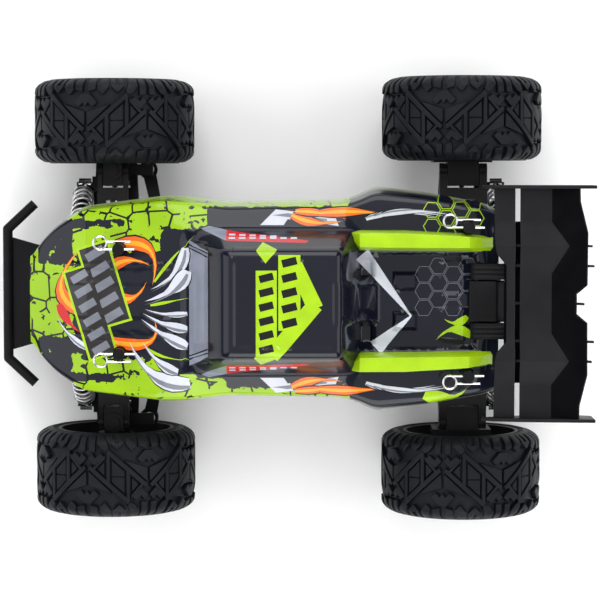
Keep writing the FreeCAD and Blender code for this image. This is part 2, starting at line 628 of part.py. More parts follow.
def pins_and_screws():
    """Hinge pins of the arms, and the screws of the chassis, deck and towers."""
    solids = []
    for cx in ("axle_x", "-axle_x"):
        for y in ("pivot_y", "-pivot_y"):
            for z in ("low_in_z", "top_in_z"):
                solids.append(rod("pin_rad", "x", (f"{cx} - 17.8", f"{cx} + 17.8"), (y, z)))
        for y in (-5, 5):
            solids.append(rod(2.2, "z", ("box_top + deck_thick", "box_top + deck_thick + 1.4"), (cx, y)))
    for x in (-104, 112):
        for y in (-9, 9):
            solids.append(rod(2.2, "z", ("floor_z - 1.2", "floor_z"), (x, y)))
    return together(*solids)


# ---------------------------------------------------------------- moving pieces in the middle

MOTOR_DROP = "sqrt((gear_module * (spur_teeth + pinion_teeth) / 2)^2 - motor_y^2)"
MOTOR_Z = f"(shaft_z - {MOTOR_DROP})"


def battery_door():
    panel = block((-54, 28), (-29.6, -6.9), ("floor_z - 2.4", "floor_z - 0.4"))
    grip = [block((x, x + 2), (-24, -12), ("floor_z - 3.2", "floor_z - 2.4")) for x in (18, 21, 24)]
    return fuse(panel, *grip)


def power_switch():
    return fuse(block((-26, -20), ("tub_half + 0.3", "tub_half + 1.8"), (29, 33)),
                block((-24.2, -21.8), ("tub_half + 1.8", "tub_half + 4"), (29.6, 32.4)))


def servo_horn():
    hub = rod(4, "z", (38.5, 43), ("servo_x", 0))
    lever = block(("servo_x", "servo_x + horn_reach"), (-2.5, 2.5), (40, 43))
    tip = rod(2.5, "z", (40, 43), ("servo_x + horn_reach", 0))
    pin = rod(1.2, "z", (43, 46.5), ("servo_x + horn_reach", 0))
    return fuse(hub, lever, tip, pin)


def steering_slider():
    """Cross bar moved by the horn's pin, with a drop leg and pivot pin at each end."""
    bar = block(("rack_x - 5", "rack_x + 3"), ("-rack_half - 1.6", "rack_half + 1.6"), (43.6, 47))
    slot = block(("rack_x - 4", "rack_x + 1"), (-1.5, 1.5), (43, 48))
    legs = [block(("rack_x - 5", "rack_x - 2.5"), (low, f"{low} + 5"), ("low_in_z - 2.5", 44))
            for low in ("-rack_half - 2.5", "rack_half - 2.5")]
    pins = [rod(1.5, "x", ("rack_x - 3", "rack_x + 3.5"), (y, "low_in_z"))
            for y in ("-rack_half", "rack_half")]
    return fuse(cut(bar, slot), *legs, *pins)


def tie_rod():
    """Flat link from the slider's pin to the knuckle's steering pin, parallel to the arms."""
    run = "(axle_x - steer_arm - rack_x)"
    eye = rod(3.2, "x", (-1.8, 2.6), (0, 0))
    end = f"{ARM_LONG} - 2"
    strap = plate([(-1.8, 0), (2.6, 0), (f"{run} + 3", end), (f"{run} - 4.2", end)], "z", (-1.2, 1.2))
    ring = rod(5, "z", (-1.5, 1.5), (run, ARM_LONG))
    ring_hole = rod(3.2, "z", (-3, 3), (run, ARM_LONG))
    pin_hole = rod(1.55, "x", (-4, 4), (0, 0))
    return along_arm(cut(fuse(eye, strap, ring), ring_hole, pin_hole), "rack_x", "low_in_z")


def gear(teeth, phase, hole, across):
    """Straight gear about an X axis; phase turns it, in degrees."""
    body = doc.addObject("PartDesign::Body", "Gear")
    pitch = f"(gear_module * {teeth} / 2)"
    root = f"({pitch} - 1.05 * gear_module)"
    disc = body.newObject("PartDesign::Pad", "Disc")
    facets = 24
    angles = [360 * step / facets for step in range(facets)]
    rim_points = [(f"{root} * cos({angle})", f"{root} * sin({angle})") for angle in angles]
    disc.Profile = body_sketch(body, "YZ_Plane", rim_points)
    bind(disc, "Length", "gear_wide")
    foot = "0.92 * gear_module"
    tip = "0.34 * gear_module"
    tooth = [(f"-{foot}", f"{root} - 0.4"), (foot, f"{root} - 0.4"), (tip, f"{pitch} + 0.85 * gear_module"),
             (f"-{tip}", f"{pitch} + 0.85 * gear_module")]
    ring_of_teeth(body, "YZ_Plane", "X_Axis", tooth, 0, "gear_wide", teeth)
    wheel = cut(body, rod(hole, "x", (-1, "gear_wide + 1"), (0, 0)))
    wheel.Placement = FreeCAD.Placement(FreeCAD.Vector(), FreeCAD.Rotation(FreeCAD.Vector(1, 0, 0), phase))
    return put(wheel, ("spur_x", *across))


def mesh_angle():
    """Direction from the centre shaft to the motor, from +Z towards -Y, in degrees."""
    return math.degrees(math.atan2(-value("motor_y"), value(f"-{MOTOR_DROP}")))


def motor_pinion():
    facing_back = mesh_angle() + 180
    half_tooth = 180 / value("pinion_teeth")
    wheel = gear("pinion_teeth", facing_back + half_tooth, 1.4, ("motor_y", MOTOR_Z))
    shaft = rod(1.5, "x", ("spur_x - 2", "spur_x + gear_wide + 8"), ("motor_y", MOTOR_Z))
    return fuse(wheel, shaft)


def centre_shaft():
    """Long shaft with the spur gear and a bevel pinion at each end."""
    spur = gear("spur_teeth", mesh_angle(), "centre_rad - 0.1", (0, "shaft_z"))
    line = rod("centre_rad", "x", ("-axle_x + bevel_reach - 4", "axle_x - bevel_reach + 4"), (0, "shaft_z"))
    pinions = [
        cone("bevel_reach / 2", 2.8, "x", ("axle_x - bevel_reach - 0.3", "axle_x - bevel_reach + 4.2"),
             (0, "shaft_z")),
        cone(2.8, "bevel_reach / 2", "x", ("-axle_x + bevel_reach - 4.2", "-axle_x + bevel_reach + 0.3"),
             (0, "shaft_z")),
    ]
    return fuse(spur, line, *pinions)


def differential(cx, facing):
    """Case with its bevel ring gear and the two output cups; facing is the side of the ring gear."""
    profile = [(-12.5, 0), (-12.5, 5), (-10, 5.4), (3.4, 5.4), (3.4, 6.2), (5.5, 10.3), (8, 10.3), (8, 5.4),
               (12.5, 5.4), (12.5, 0)]
    case = turned([(facing * along, radius) for along, radius in profile], (cx, 0, "shaft_z"))
    cups = rod("cup_rad", "y", ("-box_side - 6.5", "box_side + 6.5"), (cx, "shaft_z"))
    spaces = [rod("cup_bore", "y", span, (cx, "shaft_z"))
              for span in (("box_side - 1.5", "box_side + 8"), ("-box_side - 8", "-box_side + 1.5"))]
    return cut(fuse(case, cups), *spaces)


def body_clips():
    """Four spring clips: a straight leg through each post, a bent leg beside it and a finger loop."""
    solids = []
    places = (("front_post_x", "front_post_y", "front_post_top - 4"),
              ("rear_post_x", "rear_post_y", "rear_post_top - 4"))
    for x, y, z in places:
        leg = rod("clip_wire", "x", (f"{x} - 8", f"{x} + 8.6"), (y, z))
        outer_leg = rod("clip_wire", "x", (f"{x} - 6", f"{x} + 6"), (f"{y} + post_rad + 0.9", z))
        finger = loop("clip_loop", "clip_wire", (f"{x} + 6 + clip_loop", f"{y} + 3.2", z))
        left = fuse(leg, outer_leg, finger)
        solids += [left, mirrored(left)]
    return together(*solids)


# ---------------------------------------------------------------- body shell

# Stations along X: the half-width and height of the sill, of the fender edge, of the cabin foot
# and of the top, from the nose to the tail.
STATIONS = (
    ("nose_x", (21, "sill_z + 1"), (21, 80), (14, 82), (9, 82.5)),
    (128, (30, "sill_z + 0.5"), (29, 84), (20, 85), (12, 85.5)),
    (120, (38.7, "sill_z"), (37, 87), (26, 88.5), (14, 89)),
    (106, (48.2, "sill_z"), (46, 92), (31, 93.5), (16, 94)),
    (64, (53.7, "sill_z"), (51, 98), (36, 101), (24, 102.5)),
    ("glass_foot", (53.4, "sill_z"), (50.5, 98), (37.5, 103), (30, "hood_z")),
    ("roof_front", (50.7, "sill_z"), (48, 99), (37, "hood_z"), ("roof_half", "roof_z")),
    ("roof_rear", (51.6, "sill_z"), (49, 99), (37, 103), ("roof_half", "roof_z - 1")),
    ("roof_rear - 8", (54, "sill_z"), (51, 98), (38, "rear_floor_z"), (30, "rear_floor_z + 1")),
    (-44.7, (58.6, "sill_z"), (55, 97), (38, "rear_floor_z"), (30, "rear_floor_z + 1")),
    (-73, (55.2, "sill_z"), (52, 98), (38, "rear_floor_z"), (30, "rear_floor_z + 1")),
    (-102, (49.8, "sill_z + 2"), (47, 95), (36, "rear_floor_z - 2"), (28, "rear_floor_z - 1")),
    ("tail_x", (46, "sill_z + 14"), (44, 93), (34, 95), (26, 96)),
)


def section(x, corners, inset):
    """One closed cross-section of the shell; inset draws it inwards and opens it below."""
    sketch = doc.addObject("Sketcher::SketchObject", "Station")
    directions = (FreeCAD.Vector(0, 1, 0), FreeCAD.Vector(0, 0, 1), FreeCAD.Vector(1, 0, 0))
    facing_x = FreeCAD.Rotation(*directions, "ZXY")
    sketch.Placement = FreeCAD.Placement(FreeCAD.Vector(), facing_x)
    bind(sketch, "Placement.Base.x", x)
    left = []
    for index, (half, height) in enumerate(corners):
        lowered = f"({height}) - 3 * {inset}" if index == 0 else f"({height}) - {inset}"
        left.append((f"({half}) - {inset}", lowered))
    right = [(f"-({half})", height) for half, height in reversed(left)]
    outline(sketch, left + right)
    return sketch


def lofted(inset):
    sketches = []
    last = len(STATIONS) - 1
    for index, (x, *corners) in enumerate(STATIONS):
        shift = {0: f"-{inset}", last: f"+ {inset}"}.get(index, "")
        sketches.append(section(f"{x} {shift}", corners, inset))
    item = doc.addObject("Part::Loft", "Loft")
    item.Sections = sketches
    item.Solid = True
    item.Ruled = True
    return item


def fin(inset):
    """Side rail along the rear deck."""
    span = (f"26.5 + {inset}", f"36.4 - {inset}")
    return plate([(f"-30 - 2 * {inset}", "rear_floor_z - 4"), (f"-36 - {inset}", f"fin_top - {inset}"),
                  (f"-92 + {inset}", f"fin_top - 2 - {inset}"), (f"-105 + {inset}", "rear_floor_z - 4")],
                 "y", span)


def body_shell():
    left_outer = fin("0")
    left_inner = fin("shell_thick")
    outer = fuse(lofted("0"), left_outer, mirrored(left_outer))
    inner = fuse(lofted("shell_thick"), left_inner, mirrored(left_inner))
    rear_notch = block(("tail_x - 2", "tail_x + 11.5"), (-19.5, 19.5), (84, 120))
    post_holes = []
    for x, y in (("front_post_x", "front_post_y"), ("rear_post_x", "rear_post_y")):
        post_holes += [rod("post_rad + 0.5", "z", (80, 115), (x, f"{sign}{y}")) for sign in ("", "-")]
    return cut(outer, inner, rear_notch, *post_holes)


# ---------------------------------------------------------------- assembly

def build_corners():
    ends = (("front", "axle_x", "front_track", 1, "front_shock"),
            ("rear", "-axle_x", "rear_track", -1, "rear_shock"))
    springs = []
    for end, cx, track, side, reach in ends:
        shock_x = f"{cx} + {side} * {reach}"
        pair(f"tyre_{end}", both(tyre, cx, track))
        pair(f"rim_{end}", both(rim, cx, track))
        pair(f"lower_arm_{end}", both(lower_arm, cx, side, reach))
        pair(f"upper_arm_{end}", both(upper_arm, cx, f"{end}_top_half", f"{end}_slot_half"))
        pair(f"dogbone_{end}", both(dogbone, cx))
        pair(f"shock_body_{end}", both(shock_body, shock_x))
        pair(f"shock_rod_{end}", both(shock_rod, shock_x))
        springs += both(coil_spring, shock_x)
    pair("steering_carrier", both(steering_carrier, "axle_x"))
    pair("hub_carrier", both(hub_carrier, "-axle_x", "rear_track"))
    pair("knuckle", both(knuckle, "axle_x", "front_track"))
    node("shock_springs", together(*springs))


def build_middle():
    node("chassis_tub", chassis_tub())
    node("top_deck", top_deck())
    node("gearboxes", together(gearbox("axle_x", 1), gearbox("-axle_x", -1)))
    node("shock_towers", together(shock_tower("axle_x", 1, "front_shock", 36),
                                  shock_tower("-axle_x", -1, "rear_shock", 42)))
    node("battery_pack", battery_pack())
    node("receiver_box", receiver_box())
    node("steering_servo", steering_servo())
    node("drive_motor", drive_motor())
    node("body_posts", body_posts())
    node("front_bumper", front_bumper())
    node("wing_mount", wing_mount())
    node("rear_wing", rear_wing())
    node("pins_and_screws", pins_and_screws())
    node("body_shell", body_shell())


def build_moving():
    node("battery_door", battery_door())
    node("power_switch", power_switch())
    node("servo_horn", servo_horn())
    node("steering_slider", steering_slider())
    pair("tie_rod", both(tie_rod))
    node("motor_pinion", motor_pinion())
    node("centre_shaft", centre_shaft())
    node("front_diff", differential("axle_x", 1))
    node("rear_diff", differential("-axle_x", -1))
    node("body_clips", body_clips())


def check_and_export():
    doc.recompute()
    faults = [f"{item.Label}: {item.State}" for item in doc.Objects
              if "Invalid" in item.State or "Error" in item.State]
    for item in NODES:
        if item.Shape.isNull() or not item.Shape.isValid() or not item.Shape.Solids:
            faults.append(f"{item.Label}: bad shape")
    if faults:
        raise RuntimeError("; ".join(faults))
    os.makedirs("parts", exist_ok=True)
    for item in NODES:
        item.Shape.exportStep(f"parts/{item.Label}.step")
        print(item.Label, len(item.Shape.Solids), round(item.Shape.Volume))


build_corners()
build_middle()
build_moving()
check_and_export()
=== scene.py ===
import math

import bmesh
import bpy
import numpy as np
from mathutils import Matrix, Vector, geometry


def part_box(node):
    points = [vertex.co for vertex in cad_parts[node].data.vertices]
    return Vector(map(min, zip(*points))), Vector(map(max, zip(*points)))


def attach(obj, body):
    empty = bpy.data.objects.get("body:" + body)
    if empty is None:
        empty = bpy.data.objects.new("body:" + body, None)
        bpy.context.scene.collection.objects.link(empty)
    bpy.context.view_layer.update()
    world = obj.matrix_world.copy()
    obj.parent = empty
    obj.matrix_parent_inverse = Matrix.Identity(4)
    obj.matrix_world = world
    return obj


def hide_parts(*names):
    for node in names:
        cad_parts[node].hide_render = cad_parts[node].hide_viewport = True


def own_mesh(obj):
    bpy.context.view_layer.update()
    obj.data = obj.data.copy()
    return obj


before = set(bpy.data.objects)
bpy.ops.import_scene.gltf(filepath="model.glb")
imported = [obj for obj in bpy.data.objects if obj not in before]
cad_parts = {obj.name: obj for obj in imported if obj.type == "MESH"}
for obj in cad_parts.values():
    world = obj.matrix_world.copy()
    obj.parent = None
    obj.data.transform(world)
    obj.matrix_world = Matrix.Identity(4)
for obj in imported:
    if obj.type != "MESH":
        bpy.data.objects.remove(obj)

# The row frame: +X is the truck's nose, +Y its left side, +Z up. The numbers below are millimetres.
MM = 0.001
SIDES = {"left": 1, "right": -1}
ENDS = {"front": 1, "rear": -1}


def drop_startup_objects():
    """Removes the cube, lamp and camera of a new file, which aren't part of the truck."""
    for name in ("Cube", "Light", "Camera"):
        found = bpy.data.objects.get(name)
        if found is not None:
            bpy.data.objects.remove(found)


drop_startup_objects()
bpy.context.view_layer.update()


def corners_mm(node):
    """Lowest and highest corner of a CAD node, in millimetres."""
    low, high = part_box(node)
    return [value / MM for value in low], [value / MM for value in high]


# ---------------------------------------------------------------------------------------------
# Materials
# ---------------------------------------------------------------------------------------------

def linear(red, green, blue):
    """A colour given as 0-255 screen values, as the linear RGBA that a shader takes."""
    def channel(value):
        value = value / 255
        return value / 12.92 if value <= 0.04045 else ((value + 0.055) / 1.055) ** 2.4
    return (channel(red), channel(green), channel(blue), 1.0)


LIME = linear(163, 204, 18)
LIME_DEEP = linear(118, 158, 10)
NAVY = linear(15, 18, 31)
INK = linear(12, 13, 16)
ORANGE = linear(236, 104, 30)
AMBER = linear(246, 172, 40)
RED = linear(203, 30, 40)
SILVER = linear(206, 209, 220)
SHADE = linear(120, 124, 134)
SMOKED = linear(128, 133, 150)
PLATE = linear(46, 44, 44)
RIM_TINT = linear(190, 200, 170)
COAT_WEIGHT = 0.45
PAINT_SHINE = 0.12


def add_node(material, kind, **settings):
    """A new node in the material's tree, with its properties set."""
    node = material.node_tree.nodes.new(kind)
    for name, value in settings.items():
        setattr(node, name, value)
    return node


def link(material, output, target):
    material.node_tree.links.new(output, target)


def shader_of(material):
    return material.node_tree.nodes["Principled BSDF"]


def principled(name, colour, roughness, metallic=0.0, coat=0.0):
    """A plain material of that colour and finish."""
    material = bpy.data.materials.new(name)
    material.use_nodes = True
    shader = shader_of(material)
    shader.inputs["Base Color"].default_value = colour
    shader.inputs["Roughness"].default_value = roughness
    shader.inputs["Metallic"].default_value = metallic
    shader.inputs["Coat Weight"].default_value = coat
    shader.inputs["Coat Roughness"].default_value = 0.06
    if not metallic:
        shader.inputs["Specular IOR Level"].default_value = 0.3
    return material


def object_noise(material, scale, detail=3.0, offset=(0, 0, 0)):
    """Noise in the object's own coordinates; scale is in cells per metre."""
    place = add_node(material, "ShaderNodeTexCoord")
    shift = add_node(material, "ShaderNodeMapping")
    shift.inputs["Location"].default_value = offset
    noise = add_node(material, "ShaderNodeTexNoise")
    noise.inputs["Scale"].default_value = scale
    noise.inputs["Detail"].default_value = detail
    link(material, place.outputs["Object"], shift.inputs["Vector"])
    link(material, shift.outputs["Vector"], noise.inputs["Vector"])
    return noise.outputs["Fac"]


def grain(material, scale, depth):
    """A fine moulded texture: noise as bump, with its depth in millimetres."""
    bump = add_node(material, "ShaderNodeBump")
    bump.inputs["Strength"].default_value = 0.5
    bump.inputs["Distance"].default_value = depth * MM
    link(material, object_noise(material, scale), bump.inputs["Height"])
    link(material, bump.outputs["Normal"], shader_of(material).inputs["Normal"])
    return material


def mottle(material, dark, light, scale):
    """Slow colour variation between two tones."""
    ramp = add_node(material, "ShaderNodeValToRGB")
    ramp.color_ramp.elements[0].position = 0.3
    ramp.color_ramp.elements[0].color = dark
    ramp.color_ramp.elements[1].position = 0.7
    ramp.color_ramp.elements[1].color = light
    link(material, object_noise(material, scale), ramp.inputs["Fac"])
    link(material, ramp.outputs["Color"], shader_of(material).inputs["Base Color"])
    return material


def moulded(name, tone, roughness, shine=0.14):
    """Black or grey injection-moulded plastic; tone is its screen brightness."""
    material = principled(name, linear(tone, tone, tone + 2), roughness)
    shader_of(material).inputs["Specular IOR Level"].default_value = shine
    mottle(material, linear(tone - 3, tone - 3, tone - 1), linear(tone + 3, tone + 3, tone + 6), 60)
    return grain(material, 2600, 0.05)


def rubber():
    material = principled("tyre_rubber", linear(16, 18, 23), 0.5)
    shader_of(material).inputs["Specular IOR Level"].default_value = 0.16
    mottle(material, linear(13, 15, 19), linear(20, 22, 28), 90)
    return grain(material, 1500, 0.08)


def steel(name, tone, roughness):
    material = principled(name, linear(tone, tone, tone), roughness, metallic=1.0)
    dark = linear(tone - 14, tone - 14, tone - 12)
    light = linear(tone + 8, tone + 8, tone + 8)
    return mottle(material, dark, light, 300)


def threshold(material, value, level):
    """1 where the value is above the level, else 0."""
    test = add_node(material, "ShaderNodeMath", operation="GREATER_THAN")
    test.inputs[1].default_value = level
    link(material, value, test.inputs[0])
    return test.outputs[0]


def combine(material, operation, first, second):
    """A math node on two sockets, or on a socket and a number."""
    node = add_node(material, "ShaderNodeMath", operation=operation)
    link(material, first, node.inputs[0])
    if isinstance(second, (int, float)):
        node.inputs[1].default_value = second
    else:
        link(material, second, node.inputs[1])
    return node.outputs[0]


def mixed(material, factor, first, second):
    """Mixes two colours, each a socket or an RGBA value, by a factor socket."""
    node = add_node(material, "ShaderNodeMix", data_type="RGBA")
    link(material, factor, node.inputs["Factor"])
    for socket, colour in ((node.inputs[6], first), (node.inputs[7], second)):
        if isinstance(colour, tuple):
            socket.default_value = colour
        else:
            link(material, colour, socket)
    return node.outputs[2]


def cell_lines(material, scale, width):
    """1 on the thin lines between cells, else 0."""
    place = add_node(material, "ShaderNodeTexCoord")
    cells = add_node(material, "ShaderNodeTexVoronoi", feature="DISTANCE_TO_EDGE")
    cells.inputs["Scale"].default_value = scale
    cells.inputs["Randomness"].default_value = 0.55
    link(material, place.outputs["Object"], cells.inputs["Vector"])
    near = add_node(material, "ShaderNodeMath", operation="LESS_THAN")
    near.inputs[1].default_value = width
    link(material, cells.outputs["Distance"], near.inputs[0])
    return near.outputs[0]


def attribute(material, name):
    return add_node(material, "ShaderNodeAttribute", attribute_name=name).outputs["Fac"]


def base_coat():
    """Lime with cracked cells and black splatter, ragged against the navy by the mesh's lime amount."""
    material = principled("shell_base_coat", LIME, 0.28, coat=COAT_WEIGHT)
    shader_of(material).inputs["Specular IOR Level"].default_value = PAINT_SHINE
    ragged = combine(material, "MULTIPLY", object_noise(material, 210, 4.0), 1.1)
    amount = combine(material, "ADD", attribute(material, "lime"), ragged)
    is_lime = threshold(material, amount, 1.05)
    some_lines = threshold(material, object_noise(material, 55, 2.0, (3, 1, 0)), 0.46)
    lines = combine(material, "MULTIPLY", cell_lines(material, 95, 0.045), some_lines)
    splats = threshold(material, object_noise(material, 240, 5.0, (7, 2, 0)), 0.635)
    marks = combine(material, "MAXIMUM", lines, splats)
    tone = mixed(material, object_noise(material, 30, 1.0), LIME, LIME_DEEP)
    lime = mixed(material, marks, tone, INK)
    coat = mixed(material, is_lime, NAVY, lime)
    pale = combine(material, "MULTIPLY", attribute(material, "rim"), 0.55)
    finished = mixed(material, pale, coat, RIM_TINT)
    link(material, finished, shader_of(material).inputs["Base Color"])
    return material


def paint(name, colour, roughness=0.26):
    """Glossy shell paint under the clear skin."""
    material = principled(name, colour, roughness, coat=COAT_WEIGHT)
    shader_of(material).inputs["Specular IOR Level"].default_value = PAINT_SHINE
    deep = tuple(channel * 0.82 for channel in colour[:3]) + (1.0,)
    return mottle(material, deep, colour, 70)


MATERIALS = {
    "tyre": rubber(),
    "wheel": moulded("wheel_plastic", 20, 0.4),
    "arm": moulded("arm_plastic", 18, 0.4),
    "chassis": moulded("chassis_plastic", 16, 0.45),
    "wing": moulded("wing_plastic", 24, 0.42),
    # Painted shade: a darker copy of the wing plastic for the wing's rise behind the crease and for the
    # spar, standing in for the shade that falls there.
    "wing_painted_shade": moulded("wing_rise_painted_shade", 8, 0.6, 0.03),
    "shock": moulded("shock_plastic", 14, 0.3),
    "case": moulded("case_plastic", 46, 0.45),
    "steel": steel("bright_steel", 205, 0.22),
    "clip": steel("clip_wire", 225, 0.18),
    "spring": steel("spring_wire", 222, 0.34),
    "motor": steel("motor_can", 150, 0.38),
    "battery": paint("battery_wrap", linear(40, 90, 150), 0.35),
    "switch": moulded("switch_red", 120, 0.4),
    "coat": base_coat(),
    "lime": paint("shell_lime", LIME),
    "navy": paint("shell_navy", NAVY, 0.2),
    "ink": paint("shell_ink", INK),
    "orange": paint("shell_orange", ORANGE),
    "amber": paint("shell_amber", AMBER),
    "red": paint("shell_red", RED),
    "silver": paint("shell_silver", SILVER),
    "shade": paint("shell_shade", SHADE),
    "smoked": paint("shell_smoked", SMOKED, 0.18),
    "plate": paint("shell_plate", PLATE),
}


# ---------------------------------------------------------------------------------------------
# Mesh helpers
# ---------------------------------------------------------------------------------------------

def mesh_piece(name, points, faces, materials):
    """A mesh object from millimetre points. It isn't on a body yet."""
    mesh = bpy.data.meshes.new(name)
    mesh.from_pydata([Vector(point) * MM for point in points], [], faces)
    for material in materials:
        mesh.materials.append(MATERIALS[material])
    piece = bpy.data.objects.new(name, mesh)
    bpy.context.scene.collection.objects.link(piece)
    return piece


def outward(piece):
    """Turns the faces of a closed mesh outward and joins doubled points."""
    work = bmesh.new()
    work.from_mesh(piece.data)
    bmesh.ops.remove_doubles(work, verts=work.verts, dist=0.002 * MM)
    bmesh.ops.recalc_face_normals(work, faces=work.faces)
    work.to_mesh(piece.data)
    work.free()
    return piece


def modify(piece, kind, **settings):
    modifier = piece.modifiers.new(kind.lower(), kind)
    for name, value in settings.items():
        setattr(modifier, name, value)
    return modifier


def settle(piece, angle=35):
    """Applies the piece's modifiers and shades it smooth, with edges past the angle kept sharp."""
    graph = bpy.context.evaluated_depsgraph_get()
    mesh = bpy.data.meshes.new_from_object(piece.evaluated_get(graph))
    piece.modifiers.clear()
    piece.data = mesh
    mesh.polygons.foreach_set("use_smooth", [True] * len(mesh.polygons))
    mesh.set_sharp_from_angle(angle=math.radians(angle))
    return piece


def place(piece, body, slot, *nodes):
    """Puts the piece on its body and hides the CAD nodes that it stands for. The slot, its finish, is not
    used.
    """
    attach(piece, body)
    if nodes:
        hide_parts(*nodes)
    return piece


def smooth_step(value, low, high):
    """0 below low, 1 above high, and a smooth rise between."""
    share = np.clip((np.asarray(value, float) - low) / (high - low), 0, 1)
    return share * share * (3 - 2 * share)


def soft_box(x, y, x_range, y_range, soft):
    """1 inside a box in plan, 0 outside, smooth over the soft width."""
    along = smooth_step(x, x_range[0] - soft, x_range[0])
    along = along * (1 - smooth_step(x, x_range[1], x_range[1] + soft))
    across = smooth_step(y, y_range[0] - soft, y_range[0])
    across = across * (1 - smooth_step(y, y_range[1], y_range[1] + soft))
    return along * across


# ---------------------------------------------------------------------------------------------
# Body shell: sections along X, each with its sill, fender edge, cabin foot and top as (half, z)
# ---------------------------------------------------------------------------------------------

STATIONS = [
    (133.6, (21, 76), (21, 80), (14, 82), (9, 82.5)),
    (128, (30, 75.5), (29, 84), (20, 85), (12, 85.5)),
    (120, (38.7, 75), (37, 87), (26, 88.5), (14, 89)),
    (106, (48.2, 75), (46, 92), (31, 93.5), (16, 94)),
    (64, (53.7, 75), (51, 98), (36, 101), (24, 102.5)),
    (52, (53.4, 75), (50.5, 98), (37.5, 103), (30, 104)),
    (31, (50.7, 75), (48, 99), (37, 104), (26.4, 131)),
    (-27.7, (51.6, 75), (49, 99), (37, 103), (26.4, 130)),
    (-35.7, (54, 75), (51, 98), (38, 100), (30, 101)),
    (-44.7, (58.6, 75), (55, 97), (38, 100), (30, 101)),
    (-73, (55.2, 75), (52, 98), (38, 100), (30, 101)),
    (-102, (49.8, 77), (47, 95), (36, 98), (28, 99)),
    (-108, (46, 89), (44, 93), (34, 95), (26, 96)),
]
STATION_X = [station[0] for station in STATIONS][::-1]
# Girth is the way across the shell from its centre line: these are the top's edge, the cabin
# foot, the fender edge and the sill.
GIRTH = (0, 24, 50, 66, 90)
SHELL_WALL = 1.0
EDGE_ROUNDING = 2.6
POST_HOLES = [(86, 26.7), (86, -26.7), (-92, 37.8), (-92, -37.8)]
POST_HOLE_RADIUS = 3.6
TAIL_NOTCH = ((-110, -96.5), (-19.5, 19.5))
CABIN_REAR = -27.7
DECK_FRONT = -36


def station_values(place_in_station, part):
    """One coordinate of one section point at every station, from the tail forward."""
    return [station[place_in_station][part] for station in STATIONS][::-1]


def section(x):
    """Half widths and heights at the girth knots, for an array of x."""
    halves = [np.zeros_like(x)] + [np.interp(x, STATION_X, station_values(k, 0)) for k in (4, 3, 2, 1)]
    heights = [np.interp(x, STATION_X, station_values(k, 1)) for k in (4, 3, 2, 1)]
    return halves, [heights[0]] + heights


def raw_shell(x, girth):
    """Half width and height on the sharp-edged shell at x and a girth of 0 or more."""
    halves, heights = section(x)
    half = np.zeros_like(x)
    height = np.zeros_like(x)
    last = len(GIRTH) - 2
    for k in range(last + 1):
        share = (girth - GIRTH[k]) / (GIRTH[k + 1] - GIRTH[k])
        here = (share >= 0) & ((share < 1) | (k == last))
        half = np.where(here, halves[k] + share * (halves[k + 1] - halves[k]), half)
        height = np.where(here, heights[k] + share * (heights[k + 1] - heights[k]), height)
    return half, height


def girth_at(x, y):
    """The girth where the shell's half width is |y|."""
    halves, _ = section(np.array([float(x)]))
    return math.copysign(np.interp(abs(y), [value[0] for value in halves], GIRTH), y)


# Raised and sunken boxes on the skin, on both sides: height, x range, range across, soft edge.
RELIEFS = [
    (-3.0, (-95, DECK_FRONT), (-1, 23), 2.5),
    (-3.5, (-43, -37), (13, 21), 1.5),
    (2.6, (-65, -55), (6, 14), 1.0),
    (1.2, (-90, -78), (4, 20), 1.0),
    (-0.9, (40.5, 48.5), (-1, 30), 0.8),
    (0.8, (60, 112), (-1, 7), 3),
    (-0.9, (58, 112), (17, 19), 1.5),
    (-0.8, (-22, 26), (-1, 21.5), 1.0),
]


def relief(x, y, z):
    """Raised and sunken shapes on the shell's skin, as a new height."""
    across = np.abs(y)
    ramp = 128 - 1.45 * (CABIN_REAR - x)
    saddle = soft_box(x, across, (-46, CABIN_REAR + 1), (-1, 9), 3)
    z = z + saddle * np.maximum(ramp - z, 0)
    for height, x_range, y_range, soft in RELIEFS:
        z = z + height * soft_box(x, across, x_range, y_range, soft)
    return z


def shell_point(x, girth):
    """Points on the rounded, finished skin for arrays of x and signed girth."""
    offsets = np.array([-1, -0.5, 0, 0.5, 1]) * EDGE_ROUNDING
    half = np.zeros_like(x)
    height = np.zeros_like(x)
    for along in offsets:
        for around in offsets:
            near = np.abs(np.abs(girth) + around)
            step_x = np.clip(x + along, STATION_X[0], STATION_X[-1])
            some_half, some_height = raw_shell(step_x, near)
            mirrored = np.where(np.abs(girth) + around < 0, -some_half, some_half)
            half += mirrored / len(offsets) ** 2
            height += some_height / len(offsets) ** 2
    y = half * np.where(girth < 0, -1, 1)
    return x, y, relief(x, y, height)


HOOD_PLATE_ANGLE = 107
BAR_SLANT = 14

# Paint shapes are outlines in plan, (x, y), made from a few strokes, bars and hexagons.

def stroke(start, bend, end, width, steps=9):
    """A brush stroke on a curve: it swells from a narrow start and tapers to a point."""
    left, right = [], []
    for k in range(steps + 1):
        t = k / steps
        spine = Vector(start) * (1 - t) ** 2 + Vector(bend) * 2 * t * (1 - t) + Vector(end) * t * t
        heading = (Vector(bend) - Vector(start)) * (1 - t) + (Vector(end) - Vector(bend)) * t
        side = Vector((-heading.y, heading.x)).normalized()
        swell = width / 2 * (0.25 + 0.75 * math.sin(math.pi * min(t * 1.35 + 0.15, 1.0)))
        swell = swell * min(1.0, (1 - t) * 4)
        left.append(tuple(spine + side * swell))
        right.append(tuple(spine - side * swell))
    return left[:-1] + [tuple(Vector(end))] + right[-2::-1]


def bar(centre, length, width, angle):
    """A rectangle whose length lies at that angle from the X axis."""
    along = Vector((math.cos(math.radians(angle)), math.sin(math.radians(angle)))) * length / 2
    across = Vector((-along.y, along.x)).normalized() * width / 2
    middle = Vector(centre)
    corners = (along + across, along - across, -along - across, -along + across)
    return [tuple(middle + corner) for corner in corners]


